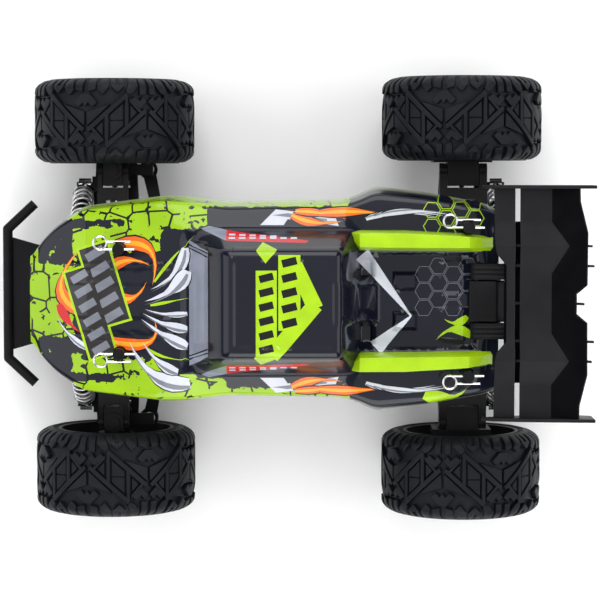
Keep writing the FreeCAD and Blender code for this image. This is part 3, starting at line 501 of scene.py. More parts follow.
def wedge(start, end, start_width, end_width):
    """A straight band that changes width from one end to the other."""
    run = Vector(end) - Vector(start)
    side = Vector((-run.y, run.x)).normalized()
    near, far = side * start_width / 2, side * end_width / 2
    return [tuple(Vector(start) + near), tuple(Vector(start) - near),
            tuple(Vector(end) - far), tuple(Vector(end) + far)]


def hexagon(centre, radius):
    return [(centre[0] + radius * math.cos(math.pi * k / 3), centre[1] + radius * math.sin(math.pi * k / 3))
            for k in range(6)]


def mirrored(shapes):
    """The same shapes on the other side of the truck."""
    return [(colour, [(x, -y) for x, y in outline]) for colour, outline in shapes]


def flame(start, bend, end, width):
    """A flame tongue: a dark edge, orange, and a narrower amber heart."""
    return [
        ("ink", stroke(start, bend, end, width + 1.6)),
        ("orange", stroke(start, bend, end, width)),
        ("amber", stroke(start, bend, end, width * 0.35)),
    ]


def streak(start, bend, end, width):
    """A pale streak with a dark edge and a grey shaded side."""
    shift = Vector((0.0, width * 0.22))
    inner = [tuple(Vector(point) + shift) for point in (start, bend, end)]
    return [
        ("ink", stroke(start, bend, end, width + 1.4)),
        ("silver", stroke(start, bend, end, width)),
        ("shade", stroke(*inner, width * 0.3)),
    ]


def block_row(centre, length, width, angle, count, face, mark):
    """A plain plate with a row of equal slanted bars on it, in place of lettering."""
    heading = Vector((math.cos(math.radians(angle)), math.sin(math.radians(angle))))
    pitch = length / count
    shapes = [(face, bar(centre, length, width, angle))]
    for k in range(count):
        middle = Vector(centre) + heading * pitch * (k + 0.5 - count / 2)
        shapes.append((mark, bar(middle, width * 0.68, pitch * 0.52, angle + 90 + BAR_SLANT)))
    return shapes


def hood_art():
    """Flames round two plates of plain bars, with pale streaks that fan out to the windscreen."""
    shapes = []
    shapes += flame((106, 6), (128, -4), (106, -27), 7)
    shapes += flame((88, -29), (62, -34), (69, -8), 7)
    shapes += flame((94, -14), (82, -26), (70, -18), 6)
    shapes += flame((92, -4), (78, 4), (72, -10), 6)
    shapes += flame((94, 20), (62, 28), (68, 9), 6)
    shapes += [("red", stroke((118, 2), (114, 12), (106, 17), 5))]
    shapes += streak((102, 25), (113, 20), (119, 9), 3.5)
    lime_lines = (
        ((68, -10), (58, -24), (47, -34)),
        ((70, 2), (60, 0), (50, -2)),
        ((72, 24), (64, 30), (49, 30)),
    )
    for lime_line in lime_lines:
        shapes.append(("lime", stroke(*lime_line, 1.6)))
    shapes += streak((52, -28), (52, -14), (70, -6), 6)
    shapes += streak((51, -16), (55, -5), (73, 0), 8)
    shapes += streak((51, 6), (60, 8), (73, 4), 3)
    shapes += streak((51, 14), (60, 14), (74, 6), 5)
    shapes += streak((51, 23), (60, 20), (75, 9), 6)
    shapes += streak((50, 42), (70, 45), (81, 21), 9)
    shapes += streak((56, 36), (66, 34), (74, 21), 5)
    for centre, length, width in (((94, -8.5), 41, 15), ((101.5, 6), 46, 13.5)):
        shapes.append(("lime", bar(centre, length + 2.4, width + 2.4, HOOD_PLATE_ANGLE)))
    shapes += block_row((94, -8.5), 41, 15, HOOD_PLATE_ANGLE, 5, "plate", "shade")
    shapes += block_row((101.5, 6), 46, 13.5, HOOD_PLATE_ANGLE, 6, "plate", "shade")
    return shapes


def roof_art():
    """Two lime plates of plain bars and a lime chevron that points to the tail."""
    shapes = [
        ("lime", wedge((8, -24), (14, -29), 9, 5)),
        ("lime", wedge((9, 24), (15, 29), 9, 5)),
        ("lime", wedge((-4, -20), (-14, 2), 7, 8)),
        ("lime", wedge((8, 26), (-14, 0), 8, 8)),
    ]
    shapes += block_row((10.5, 4.5), 43, 10.5, 90, 6, "lime", "ink")
    shapes += block_row((-1, -6), 38, 11, 90, 5, "lime", "ink")
    return shapes


def side_window():
    """The left side window: a smoked front corner and a red band with pale dashes."""
    shapes = [
        ("smoked", [(44, 37), (31, 31.5), (31, 36.5), (40, 38.5)]),
        ("red", [(31, 31.5), (-9, 30.5), (-11, 31.5), (31, 36.5)]),
    ]
    for k in range(7):
        x = 28 - 5.2 * k
        shapes.append(("silver", bar((x, 32.8), 3.2, 0.8, 0)))
        if k < 5:
            shapes.append(("silver", bar((x, 34.4 - 0.2 * k), 3.2, 0.8, 0)))
    return shapes


def side_art():
    """Panels, flames and streaks along the left side, from the door to the rear fender."""
    shapes = [
        ("silver", [(14, 39), (2, 39), (0, 42), (-26, 38.5), (-24, 44), (-2, 46), (6, 47)]),
        ("shade", [(8, 44), (0, 43), (-20, 41), (-20, 42), (0, 45)]),
    ]
    shapes += flame((-2, 44), (-14, 38), (-28, 41), 5)
    shapes += flame((-4, 46), (-18, 46), (-30, 42), 4)
    shapes += flame((-16, 45), (-36, 47), (-54, 44), 5)
    for reach in (0, 4, 8):
        shapes += streak((-40 - reach, 42 + reach / 4), (-54 - reach, 48), (-76 - reach, 43 + reach / 8), 3)
    return shapes


HEX_PITCH = 8.6


def hex_lines(x_range, y_range, colour, width):
    """A honeycomb of thin outlines over a box in plan."""
    shapes = []
    radius = HEX_PITCH / math.sqrt(3)
    columns = int((x_range[1] - x_range[0]) / (1.5 * radius)) + 1
    rows = int((y_range[1] - y_range[0]) / HEX_PITCH) + 1
    for column in range(columns):
        for row in range(rows):
            stagger = 0.5 * (column % 2)
            centre = (x_range[0] + 1.5 * radius * column, y_range[0] + HEX_PITCH * (row + stagger))
            shapes.append((colour, hexagon(centre, radius - 0.3)))
            shapes.append(("navy", hexagon(centre, radius - 0.3 - width)))
    return shapes


def deck_art():
    """Honeycomb, the silver V and lime patches on the deck behind the cabin."""
    shapes = hex_lines((-92, -66), (-18, 3), "shade", 0.22)
    shapes += hex_lines((-96, -72), (-51, -41), "lime", 0.5)
    shapes += [
        ("silver", wedge((-38, -24), (-63, 7.5), 8, 0.8)),
        ("silver", wedge((-45, 24), (-63, 7.5), 8, 0.8)),
        ("lime", stroke((-94, 18), (-84, 10), (-76, 20), 5)),
        ("lime", stroke((-92, 8), (-86, 14), (-80, 9), 4)),
        ("lime", stroke((-70, 48), (-84, 54), (-92, 45), 8)),
    ]
    return shapes


def paint_shapes():
    """Every paint shape in the order that it goes on, each as its colour and its outline."""
    shapes = [
        ("navy", bar((-2.5, 0), 59, 58, 0)),
        ("navy", bar((-67, 0), 64, 50, 0)),
        ("smoked", [(50, -31.5), (40, -26.5), (40, 27.5), (50, 32.5)]),
        ("ink", bar((45.2, -25.5), 11, 0.7, -25)),
        ("ink", bar((45.2, -27.5), 11, 0.7, -25)),
        ("ink", bar((45.2, 25.5), 11, 0.7, 25)),
        ("ink", bar((45.2, 27.5), 11, 0.7, 25)),
    ]
    shapes += hood_art() + roof_art() + deck_art()
    shapes += side_window() + mirrored(side_window())
    shapes += side_art() + mirrored(side_art())
    return shapes


def on_skin(outline, spacing=2.5):
    """An outline in plan as closely spaced points in (x, girth)."""
    points = []
    for k, start in enumerate(outline):
        run = Vector(outline[(k + 1) % len(outline)]) - Vector(start)
        count = max(1, math.ceil(run.length / spacing))
        for step in range(count):
            x, y = Vector(start) + run * step / count
            x = min(max(x, STATION_X[0] + 0.3), STATION_X[-1] - 0.3)
            points.append(Vector((x, girth_at(x, y))))
    return points


def inside(outline, x, y):
    """Which points an outline winds round. It may cross itself."""
    winding = np.zeros(len(x), int)
    for start, end in zip(outline, outline[1:] + outline[:1]):
        turn = (end.x - start.x) * (y - start.y) - (end.y - start.y) * (x - start.x)
        winding += (start.y <= y) & (end.y > y) & (turn > 0)
        winding -= (start.y > y) & (end.y <= y) & (turn < 0)
    return winding != 0


def circle(centre, radius, count=24):
    return [(centre[0] + radius * math.cos(2 * math.pi * k / count),
             centre[1] + radius * math.sin(2 * math.pi * k / count)) for k in range(count)]


# Where the base coat is dark: how dark, whether on both sides, its x and y range, and its soft edge. Most
# are navy paint; the thin band at |y| 38 to 41 beside the hood is painted shade in the valley between the
# hood and the fenders.
NAVY_AND_PAINTED_SHADE_PATCHES = [
    (0.95, False, (54, 104), (-20, 24), 12),
    (1.0, True, (-120, 44), (-1, 37), 4),
    (1.0, True, (38, 62), (-1, 34), 6),
    (0.8, False, (-34, 40), (-47, -30), 3),
    (0.8, False, (-34, 30), (30, 43), 3),
    (0.9, True, (-120, -34), (30, 60), 5),
    # Painted shade: a navy band in the valley between the hood and the fenders.
    (0.6, True, (84, 112), (38, 41), 3),
    (0.7, True, (112, 128), (20, 40), 4),
]


def lime_amount(x, y):
    """How far the base coat is lime, from 0 for navy to 1, before its edge is roughened. The navy includes
    a band of painted shade in the valleys beside the hood.
    """
    dark = np.zeros_like(x)
    for strength, both_sides, x_range, y_range, soft in NAVY_AND_PAINTED_SHADE_PATCHES:
        sideways = np.abs(y) if both_sides else y
        dark = np.maximum(dark, strength * soft_box(x, sideways, x_range, y_range, soft))
    return 1 - dark


def skin_grid(spacing=1.6):
    """Evenly spread points over the shell, in (x, girth)."""
    along = np.arange(STATION_X[0], STATION_X[-1] + 0.01, spacing)
    along[-1] = STATION_X[-1]
    around = np.linspace(-GIRTH[-1], GIRTH[-1], int(2 * GIRTH[-1] / spacing))
    return [Vector((x, girth)) for x in along for girth in around]


def painted_skin():
    """The skin cut along every paint outline: points in (x, girth), triangles and their colours."""
    shapes = paint_shapes()
    cuts = [circle(hole, POST_HOLE_RADIUS) for hole in POST_HOLES]
    cuts.append([(x, y) for x, y in zip(TAIL_NOTCH[0] + TAIL_NOTCH[0][::-1],
                                         (TAIL_NOTCH[1][0],) * 2 + (TAIL_NOTCH[1][1],) * 2)])
    points = skin_grid()
    edges = []
    outlines = [on_skin(shape[1]) for shape in shapes]
    holes = [on_skin(cut) for cut in cuts]
    for outline in outlines + holes:
        first = len(points)
        points += outline
        count = len(outline)
        edges += [(first + k, first + (k + 1) % count) for k in range(count)]
    flat, _, faces, *_ = geometry.delaunay_2d_cdt(points, edges, [], 0, 0.02)
    middles = np.array([sum((flat[k] for k in face), Vector((0, 0))) / len(face) for face in faces])
    colours = np.full(len(faces), -1)
    for k, outline in enumerate(outlines):
        colours[inside(outline, middles[:, 0], middles[:, 1])] = k
    solid = np.ones(len(faces), bool)
    for hole in holes:
        solid &= ~inside(hole, middles[:, 0], middles[:, 1])
    kept = [face for face, keep in zip(faces, solid) if keep]
    names = ["coat" if k < 0 else shapes[k][0] for k in colours[solid]]
    return flat, kept, names


SHELL_COLOURS = [
    "coat", "lime", "navy", "ink", "orange", "amber", "red", "silver", "shade", "smoked", "plate",
]


def add_amount(mesh, name, values):
    """Stores one number for each point, for the material to read."""
    layer = mesh.attributes.new(name, "FLOAT", "POINT")
    layer.data.foreach_set("value", np.asarray(values, np.float32))


def body_shell():
    """The painted shell, rounded, with its holes and its wall thickness."""
    flat, faces, colours = painted_skin()
    x = np.array([point.x for point in flat])
    girth = np.array([point.y for point in flat])
    x, y, z = shell_point(x, girth)
    piece = mesh_piece("shell_skin", list(zip(x, y, z)), faces, SHELL_COLOURS)
    indices = [SHELL_COLOURS.index(colour) for colour in colours]
    piece.data.polygons.foreach_set("material_index", indices)
    # The lime amount also carries painted shade: navy in the valleys beside the hood.
    add_amount(piece.data, "lime", lime_amount(x, y))
    add_amount(piece.data, "rim", smooth_step(np.abs(girth), 76, 89))
    modify(piece, "SOLIDIFY", thickness=SHELL_WALL * MM, offset=-1)
    settle(piece, 50)
    return place(piece, "chassis", "shell_paint", "body_shell")


# Each rail section, from its pointed front to the tail: x, inner and outer half width, top height.
FIN_SECTIONS = [(-29.5, 34.2, 35.4, 98), (-36.5, 26.6, 36.4, 112.5), (-60, 26.4, 36.4, 112),
                (-92, 26.2, 34.6, 110.5), (-100, 26.2, 33.4, 104), (-105, 26.4, 33, 97.5)]
FIN_BASE = 96.5
FIN_LEAN = 1.4


def shell_fin(side):
    """The lime rail along one side of the rear deck: pointed at the front, with sloped flanks."""
    points, faces = [], []
    for x, inner, outer, top in FIN_SECTIONS:
        lean = min(FIN_LEAN, (outer - inner) / 4)
        corners = (
            (inner - lean, FIN_BASE),
            (outer + lean * 0.3, FIN_BASE),
            (outer - lean, top),
            (inner + lean, top),
        )
        points += [(x, SIDES[side] * half, z) for half, z in corners]
    last = 4 * (len(FIN_SECTIONS) - 1)
    for start in range(0, last, 4):
        for k in range(4):
            after = (k + 1) % 4
            faces.append((start + k, start + after, start + 4 + after, start + 4 + k))
    faces += [(0, 1, 2, 3), (last + 3, last + 2, last + 1, last)]
    piece = outward(mesh_piece("shell_fin_" + side, points, faces, ["lime"]))
    modify(piece, "BEVEL", width=0.9 * MM, segments=3, limit_method="ANGLE", angle_limit=math.radians(25))
    settle(piece, 40)
    return place(piece, "chassis", "shell_paint")


# ---------------------------------------------------------------------------------------------
# Tyres: a lathed carcass with raised tread blocks, mirrored and shifted from side to side
# ---------------------------------------------------------------------------------------------

TREAD_RADIUS = 42.5
GROOVE_DEPTH = 2.4
BLOCK_FOOT = GROOVE_DEPTH + 1.0
MOTIFS = 8
MOTIF_START = -0.13
MOTIF_ANGLE = 2 * math.pi / MOTIFS
TYRE_HALF_WIDTH = 22.5
SHOULDER_START = 15.5
SHOULDER_DROP = 0.05
SHOULDER_POWER = 2.6
CHAMFER = 0.28
BLOCK_DRAFT = 0.2
PLATE_SINK = 0.55
CARCASS = [(31.2, 17), (31.6, 20.4), (33.2, 21.5), (34.0, 22.1), (34.8, 21.6), (36.0, 21.6), (37.2, 20.8),
           (38.6, 19.4), (39.7, 17.4), (40.0, 13), (40.1, 6.5)]


def crown_radius(t):
    """Radius of the tread's outer surface at a distance t from the tyre's mid-plane."""
    past = max(0.0, abs(t) - SHOULDER_START)
    return TREAD_RADIUS - 0.18 * (t / SHOULDER_START) ** 2 - SHOULDER_DROP * past ** SHOULDER_POWER


# Tread blocks are outlines in (arc length from the motif's middle, distance from the mid-plane).
# Each motif also has every paired block turned half round, and every other motif is mirrored.

PAIRED_RIBS = [
    # The long slanting rib with its upright.
    [(-6.0, -2.6), (-6.0, 12.8), (-5.2, 14.3), (15.9, -4.2), (14.9, -5.7), (-4.5, 11.0), (-4.5, -3.6)],
    # The rim of the three-cornered pocket beside the upright.
    [(-13.4, 4.4), (-12.6, 3.8), (-6.9, 9.8), (-6.9, 11.4)],
    # Zigzag lug.
    [(7.4, -10.2), (12.6, -6.2), (16.0, -9.6), (13.9, -11.8), (12.4, -9.6), (9.4, -12.2)],
    # Shoulder lugs: a forked pentagon, a bent bar, a slanted bar and an upright bar.
    [(-3.8, 21.2), (-3.8, 17.6), (-0.6, 14.6), (2.6, 17.6), (2.6, 21.2),
     (0.6, 21.2), (0.6, 17.8), (-1.8, 17.8), (-1.8, 21.2)],
    [(-11.0, 21.2), (-11.0, 17.4), (-8.4, 14.4), (-6.4, 13.4), (-5.0, 15.2), (-7.8, 21.2)],
    [(4.2, 21.2), (4.2, 17.4), (7.2, 13.6), (9.6, 15.8), (7.8, 21.2)],
    [(11.2, 21.2), (11.2, 16.2), (14.9, 15.2), (14.9, 21.2)],
    [(-15.4, 21.2), (-15.4, 13.6), (-12.6, 13.2), (-12.6, 21.2)],
]
PAIRED_PLATES = [
    [(3.6, 8.4), (15.8, -2.5), (15.8, 4.4)],
    [(-10.6, 4.2), (-7.4, 0.8), (-7.4, 7.6)],
]
# Blocks that turn into themselves, or that straddle two motifs.
SINGLE_PLATES = [
    [(-3.2, 8.4), (-3.2, 0.4), (3.2, 0.4), (3.2, 2.6)],
    [(3.2, -8.4), (3.2, -0.4), (-3.2, -0.4), (-3.2, -2.6)],
]
BOUNDARY_RIBS = [
    [(10.4, 9.4), (14.6, 13.6), (18.8, 13.6), (23.0, 9.4), (20.6, 7.4),
     (18.2, 9.6), (16.7, 7.6), (15.2, 9.6), (12.8, 7.4)],
]


def turned(outline):
    return [(-arc, -t) for arc, t in outline]


def motif_blocks():
    """Every block of one motif, each as its outline and how far its top is sunk."""
    blocks = [(outline, 0.0) for outline in PAIRED_RIBS + BOUNDARY_RIBS]
    blocks += [(turned(outline), 0.0) for outline in PAIRED_RIBS]
    blocks += [(outline, PLATE_SINK) for outline in PAIRED_PLATES + SINGLE_PLATES]
    blocks += [(turned(outline), PLATE_SINK) for outline in PAIRED_PLATES]
    return blocks


def signed_area(outline):
    return sum(a[0] * b[1] - b[0] * a[1] for a, b in zip(outline, outline[1:] + outline[:1])) / 2


def filled_outline(outline, spacing=2.0):
    """Points and triangles that fill an outline closely enough to bend round the tyre."""
    if signed_area(outline) < 0:
        outline = outline[::-1]
    points = []
    for k, start in enumerate(outline):
        run = Vector(outline[(k + 1) % len(outline)]) - Vector(start)
        count = max(1, math.ceil(run.length / spacing))
        points += [Vector(start) + run * step / count for step in range(count)]
    rim = len(points)
    low = [min(point[axis] for point in outline) for axis in (0, 1)]
    high = [max(point[axis] for point in outline) for axis in (0, 1)]
    for x in np.arange(low[0] + spacing / 2, high[0], spacing):
        for y in np.arange(low[1] + spacing / 2, high[1], spacing):
            points.append(Vector((x, y)))
    flat, _, faces, *_ = geometry.delaunay_2d_cdt(points, [], [list(range(rim))], 1, 0.01)
    return flat, faces


def rim_order(faces):
    """For each point on the rim of the triangles, the next one round the rim."""
    edges = {(face[k], face[(k + 1) % len(face)]) for face in faces for k in range(len(face))}
    return {start: end for start, end in edges if (end, start) not in edges}


def block_prism(outline, sink):
    """A closed tread block in (arc length, t, depth) with a chamfered top edge and drafted walls."""
    flat, faces = filled_outline(outline)
    after = rim_order(faces)
    before = {end: start for start, end in after.items()}
    points = [(point.x, point.y, sink) for point in flat]
    faces = [tuple(face) for face in faces]
    upper = {index: index for index in after}
    for growth, depth in ((CHAMFER, sink + CHAMFER), (CHAMFER + BLOCK_DRAFT, BLOCK_FOOT)):
        lower = {}
        for index in after:
            heading = (flat[after[index]] - flat[before[index]]).normalized()
            lower[index] = len(points)
            points.append((flat[index].x + heading.y * growth, flat[index].y - heading.x * growth, depth))
        faces += [(upper[start], lower[start], lower[end], upper[end]) for start, end in after.items()]
        upper = lower
    loop = [next(iter(after))]
    while after[loop[-1]] != loop[0]:
        loop.append(after[loop[-1]])
    faces.append(tuple(upper[index] for index in loop[::-1]))
    return points, faces


def tread_mesh():
    """All tread blocks of a tyre about its axle, which lies along Y through the origin."""
    points, faces = [], []
    prisms = [block_prism(outline, sink) for outline, sink in motif_blocks()]
    for motif in range(MOTIFS):
        turn = (motif + MOTIF_START) * MOTIF_ANGLE
        flip = 1 if motif % 2 == 0 else -1
        for block_points, block_faces in prisms:
            start = len(points)
            for arc, t, depth in block_points:
                angle = arc / TREAD_RADIUS + turn
                radius = crown_radius(t) - depth
                t = max(-TYRE_HALF_WIDTH, min(TYRE_HALF_WIDTH, t))
                points.append((radius * math.sin(angle), flip * t, radius * math.cos(angle)))
            faces += [tuple(index + start for index in face) for face in block_faces]
    return points, faces


def carcass_mesh(turns=128):
    """The tyre's body as a closed ring."""
    profile = CARCASS + [(40.15, 0)] + [(radius, -t) for radius, t in CARCASS[::-1]]
    points = []
    for k in range(turns):
        angle = 2 * math.pi * k / turns
        points += [(radius * math.sin(angle), t, radius * math.cos(angle)) for radius, t in profile]
    count = len(profile)
    faces = []
    for k in range(turns):
        here, beyond = k * count, (k + 1) % turns * count
        for j in range(count):
            after = (j + 1) % count
            faces.append((here + j, here + after, beyond + after, beyond + j))
    return points, faces


def tyre(end, side):
    """One tyre, in place on its wheel."""
    name = f"tyre_{end}_{side}"
    low, high = corners_mm(name)
    centre = Vector([(a + b) / 2 for a, b in zip(low, high)])
    body_points, body_faces = carcass_mesh()
    tread_points, tread_faces = tread_mesh()
    offset = len(body_points)
    points = body_points + tread_points
    faces = body_faces + [tuple(index + offset for index in face) for face in tread_faces]
    points = [(centre.x + x, centre.y + SIDES[side] * y, centre.z + z) for x, y, z in points]
    piece = outward(mesh_piece("treaded_" + name, points, faces, ["tyre"]))
    settle(piece, 32)
    return place(piece, f"wheel_{end}_{side}", "tyre_rubber", name)


# ---------------------------------------------------------------------------------------------
# Rear wing: two bent elements, ribs and end plates
# ---------------------------------------------------------------------------------------------

WING_HALF = 57.8
RIDGE_AT = 29
RIDGE_FOOT_INNER, RIDGE_FOOT_OUTER = 15, 41
MAIN_FRONT = -116.8
FRONT_REAR = -114.3
CREASE_AT = -132.6
RIDGE_PUSH = 8.6
LIP_HEIGHT = 126.2
PLATEAU_STEPS, RISE_STEPS = 6, 10
WING_WALL = 1.8
WING_KNOTS = (0, 5.8, 9.8, 15, 19, 25, 29, 35.6, 41, 51, 57.8)
# Half widths where the edges in plan bend, with the x of each edge there.
TRAILING_EDGE = [(0, -143.8), (5.8, -143.8), (9.8, -149.4), (35.6, -149.6), (51, -145.6), (58, -145.4)]
LEADING_EDGE = [(0, -110.2), (19, -110), (25, -105), (30, -104.2), (58, -103.8)]
RIBS = {0: -148.5, 19: -153.4, -19: -153.4, 29: -152.4, -29: -152.4}
END_PLATE = [(-97.5, 116.5), (-103, 121), (-120, 124.8), (-146, 127.4), (-154.2, 128), (-154.4, 109),
             (-148, 106.6), (-139, 105.9), (-124, 107), (-111, 108.6)]
END_PLATE_THICK = 1.7
END_PLATE_OUTER = 59.4
SPAR_OUTLINE = [(-109.5, 108), (-111, 106.6), (-120.5, 107.6), (-122.5, 109.6), (-112, 109.4)]
SPAR_HALF = 41
RIB_HALF = 0.55


def edge_at(edge, half):
    return float(np.interp(abs(half), [point[0] for point in edge], [point[1] for point in edge]))


def ridge(half):
    """1 on the lengthways ridge of the wing, 0 on the flats on either side of it."""
    return float(np.interp(abs(half), [RIDGE_FOOT_INNER, RIDGE_AT, RIDGE_FOOT_OUTER], [0, 1, 0]))


def main_row(half):
    """Top of the main element across one section: a plateau, a crease and a rise to the rear lip."""
    crease = CREASE_AT - RIDGE_PUSH * ridge(half)
    rear = edge_at(TRAILING_EDGE, half)
    row = []
    for k in range(PLATEAU_STEPS + 1):
        x = MAIN_FRONT + (crease - MAIN_FRONT) * k / PLATEAU_STEPS
        row.append((x, half, 119.2 + 2.6 * ridge(half) + 0.06 * (MAIN_FRONT - x)))
    level = row[-1][2]
    for k in range(1, RISE_STEPS + 1):
        share = k / RISE_STEPS
        row.append((crease + (rear - crease) * share, half, level + (LIP_HEIGHT - level) * share ** 1.25))
    return row


def front_row(half):
    """Top of the front element across one section: nose down, with the same ridges."""
    front = edge_at(LEADING_EDGE, half)
    row = []
    for k in range(PLATEAU_STEPS + 1):
        x = front + (FRONT_REAR - front) * k / PLATEAU_STEPS
        row.append((x, half, 117.6 + 2.2 * ridge(half) + 0.13 * (-104 - x)))
    return row


def wing_element(name, row_at, thickness):
    """A bent plate from its top points in each section across the truck."""
    halves = sorted(set(WING_KNOTS) | set(np.arange(2, WING_HALF, 4.0)))
    rows = [row_at(half) for half in [-half for half in halves[:0:-1]] + halves]
    across = len(rows[0])
    points = [point for row in rows for point in row]
    faces = []
    for k in range(len(rows) - 1):
        for j in range(across - 1):
            start = k * across + j
            faces.append((start, start + 1, start + across + 1, start + across))
    piece = mesh_piece(name, points, faces, ["wing", "wing_painted_shade"])
    # Painted shade: the faces of the rise behind the crease take the darker copy of the wing plastic.
    painted_shade_faces = [j % (across - 1) >= PLATEAU_STEPS for j in range(len(faces))]
    piece.data.polygons.foreach_set("material_index", [int(rise) for rise in painted_shade_faces])
    if piece.data.polygons[0].normal.z < 0:
        piece.data.flip_normals()
    modify(piece, "SOLIDIFY", thickness=thickness * MM, offset=-1)
    modify(piece, "BEVEL", width=0.35 * MM, segments=2, limit_method="ANGLE", angle_limit=math.radians(60))
    return settle(piece, 14)


def extruded(name, outline, low, high, material, bevel):
    """A plate from an outline in (x, z), between two y values, with its edges rounded."""
    count = len(outline)
    points = [(x, low, z) for x, z in outline] + [(x, high, z) for x, z in outline]
    faces = [tuple(range(count)), tuple(range(2 * count - 1, count - 1, -1))]
    faces += [(k, k + count, (k + 1) % count + count, (k + 1) % count) for k in range(count)]
    piece = outward(mesh_piece(name, points, faces, [material]))
    modify(piece, "BEVEL", width=bevel * MM, segments=3, limit_method="ANGLE", angle_limit=math.radians(20))
    return settle(piece, 40)


COVER_OUTLINE = [(-93.5, 97), (-110.5, 97), (-112.2, 99), (-112.2, 103.4), (-110.8, 104.6),
                 (-95, 102.4), (-93.5, 101)]
COVER_INNER, COVER_OUTER = 11.2, 19.2
COVER_RIBS = 3
COVER_RIB_START = 12.9
COVER_RIB_PITCH = 2.3
COVER_RIB_RISE = 0.9
TAIL_BOX_OUTLINE = [(-92.5, 97), (-111, 97), (-112.2, 99), (-108.6, 101.2), (-106.6, 102.6), (-92.5, 100.6)]
TAIL_BOX_HALF = 10.6


def tail_covers():
    """Dark covers between the shell's tail and the wing: a ribbed block on each side of a plain box."""
    for side, sign in SIDES.items():
        inner, outer = sorted((sign * COVER_INNER, sign * COVER_OUTER))
        cover = extruded(f"tail_cover_{side}", COVER_OUTLINE, inner, outer, "chassis", 0.4)
        place(cover, "chassis", "arm_plastic")
        rib_outline = [(x - 0.4, z + COVER_RIB_RISE) for x, z in COVER_OUTLINE]
        for k in range(COVER_RIBS):
            middle = sign * (COVER_RIB_START + COVER_RIB_PITCH * k)
            rib = extruded(f"tail_rib_{side}_{k}", rib_outline, middle - 0.6, middle + 0.6, "wing", 0.3)
            place(rib, "chassis", "arm_plastic")
    box = extruded("tail_box", TAIL_BOX_OUTLINE, -TAIL_BOX_HALF, TAIL_BOX_HALF, "shock", 0.8)
    place(box, "chassis", "arm_plastic")


def rear_wing():
    """The whole wing, in separate pieces on the chassis."""
    for name, row_at in (("wing_main_element", main_row), ("wing_front_element", front_row)):
        place(wing_element(name, row_at, WING_WALL), "chassis", "arm_plastic", "rear_wing")
    # Painted shade: the spar takes the same darker copy of the wing plastic.
    spar = extruded("wing_spar", SPAR_OUTLINE, -SPAR_HALF, SPAR_HALF, "wing_painted_shade", 0.5)
    place(spar, "chassis", "arm_plastic", "rear_wing")
    for half, tail in RIBS.items():
        top = 119 + 3 * ridge(half)
        outline = [(-110.8, 113), (-112, 117.4), (-119, top - 1.6), (-132, top - 0.8), (-143, 121.5),
                   (tail, 125.6), (tail, 121.5), (-140, 115.5), (-124, 113.2)]
        rib = extruded(f"wing_rib_{half + 30}", outline, half - RIB_HALF, half + RIB_HALF, "wing", 0.2)
        place(rib, "chassis", "arm_plastic", "rear_wing")
    for side, sign in SIDES.items():
        low, high = sorted((sign * END_PLATE_OUTER, sign * (END_PLATE_OUTER - END_PLATE_THICK)))
        plate = extruded(f"wing_end_plate_{side}", END_PLATE, low, high, "wing", 0.45)
        place(plate, "chassis", "arm_plastic", "rear_wing")


# ---------------------------------------------------------------------------------------------
# Coil springs over the shocks
# ---------------------------------------------------------------------------------------------

SHOCK_TOP = (31, 82)
SHOCK_FOOT = (59, 36)
SHOCK_X = {"front": 109, "rear": -111.3}
SPRING_START, SPRING_END = 14, 43
COIL_RADIUS = 4.9
WIRE_RADIUS = 0.65
COIL_TURNS = 6.5


def coil_path(steps_per_turn=20):
    """Points along the coil in the spring's own frame, with closed end turns."""
    count = int(COIL_TURNS * steps_per_turn)
    points = []
    for k in range(count + 1):
        share = k / count
        turn = 2 * math.pi * COIL_TURNS * share
        eased = smooth_step(share, -0.12, 1.12)
        start, end = smooth_step(0, -0.12, 1.12), smooth_step(1, -0.12, 1.12)
        rise = float((eased - start) / (end - start))
        reach = SPRING_START + WIRE_RADIUS + (SPRING_END - SPRING_START - 2 * WIRE_RADIUS) * rise
        points.append(Vector((COIL_RADIUS * math.cos(turn), COIL_RADIUS * math.sin(turn), reach)))
    return points


def tube(path, radius, sides=10):
    """A closed tube of wire along a path."""
    points, faces = [], []
    for k, point in enumerate(path):
        before, after = path[max(k - 1, 0)], path[min(k + 1, len(path) - 1)]
        heading = (after - before).normalized()
        outward_way = Vector((point.x, point.y, 0)).normalized()
        across = heading.cross(outward_way).normalized()
        for j in range(sides):
            angle = 2 * math.pi * j / sides
            ring_way = outward_way * radius * math.cos(angle) + across * radius * math.sin(angle)
            points.append(point + ring_way)
    for k in range(len(path) - 1):
        for j in range(sides):
            after = (j + 1) % sides
            faces.append((k * sides + j, k * sides + after, (k + 1) * sides + after, (k + 1) * sides + j))
    last = (len(path) - 1) * sides
    faces.append(tuple(range(sides))[::-1])
    faces.append(tuple(range(last, last + sides)))
    return points, faces


def spring(end, side):
    """One coil spring, on its shock body."""
    top = Vector((SHOCK_X[end], SIDES[side] * SHOCK_TOP[0], SHOCK_TOP[1]))
    foot = Vector((SHOCK_X[end], SIDES[side] * SHOCK_FOOT[0], SHOCK_FOOT[1]))
    down = (foot - top).normalized()
    turn = down.to_track_quat("Z", "X")
    points, faces = tube(coil_path(), WIRE_RADIUS)
    points = [top + turn @ point for point in points]
    piece = outward(mesh_piece(f"coil_spring_{end}_{side}", points, faces, ["spring"]))
    settle(piece, 60)
    place(piece, f"shock_body_{end}_{side}", "bright_steel", "shock_springs")
    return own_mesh(piece)


# ---------------------------------------------------------------------------------------------
# CAD nodes that keep their shape
# ---------------------------------------------------------------------------------------------

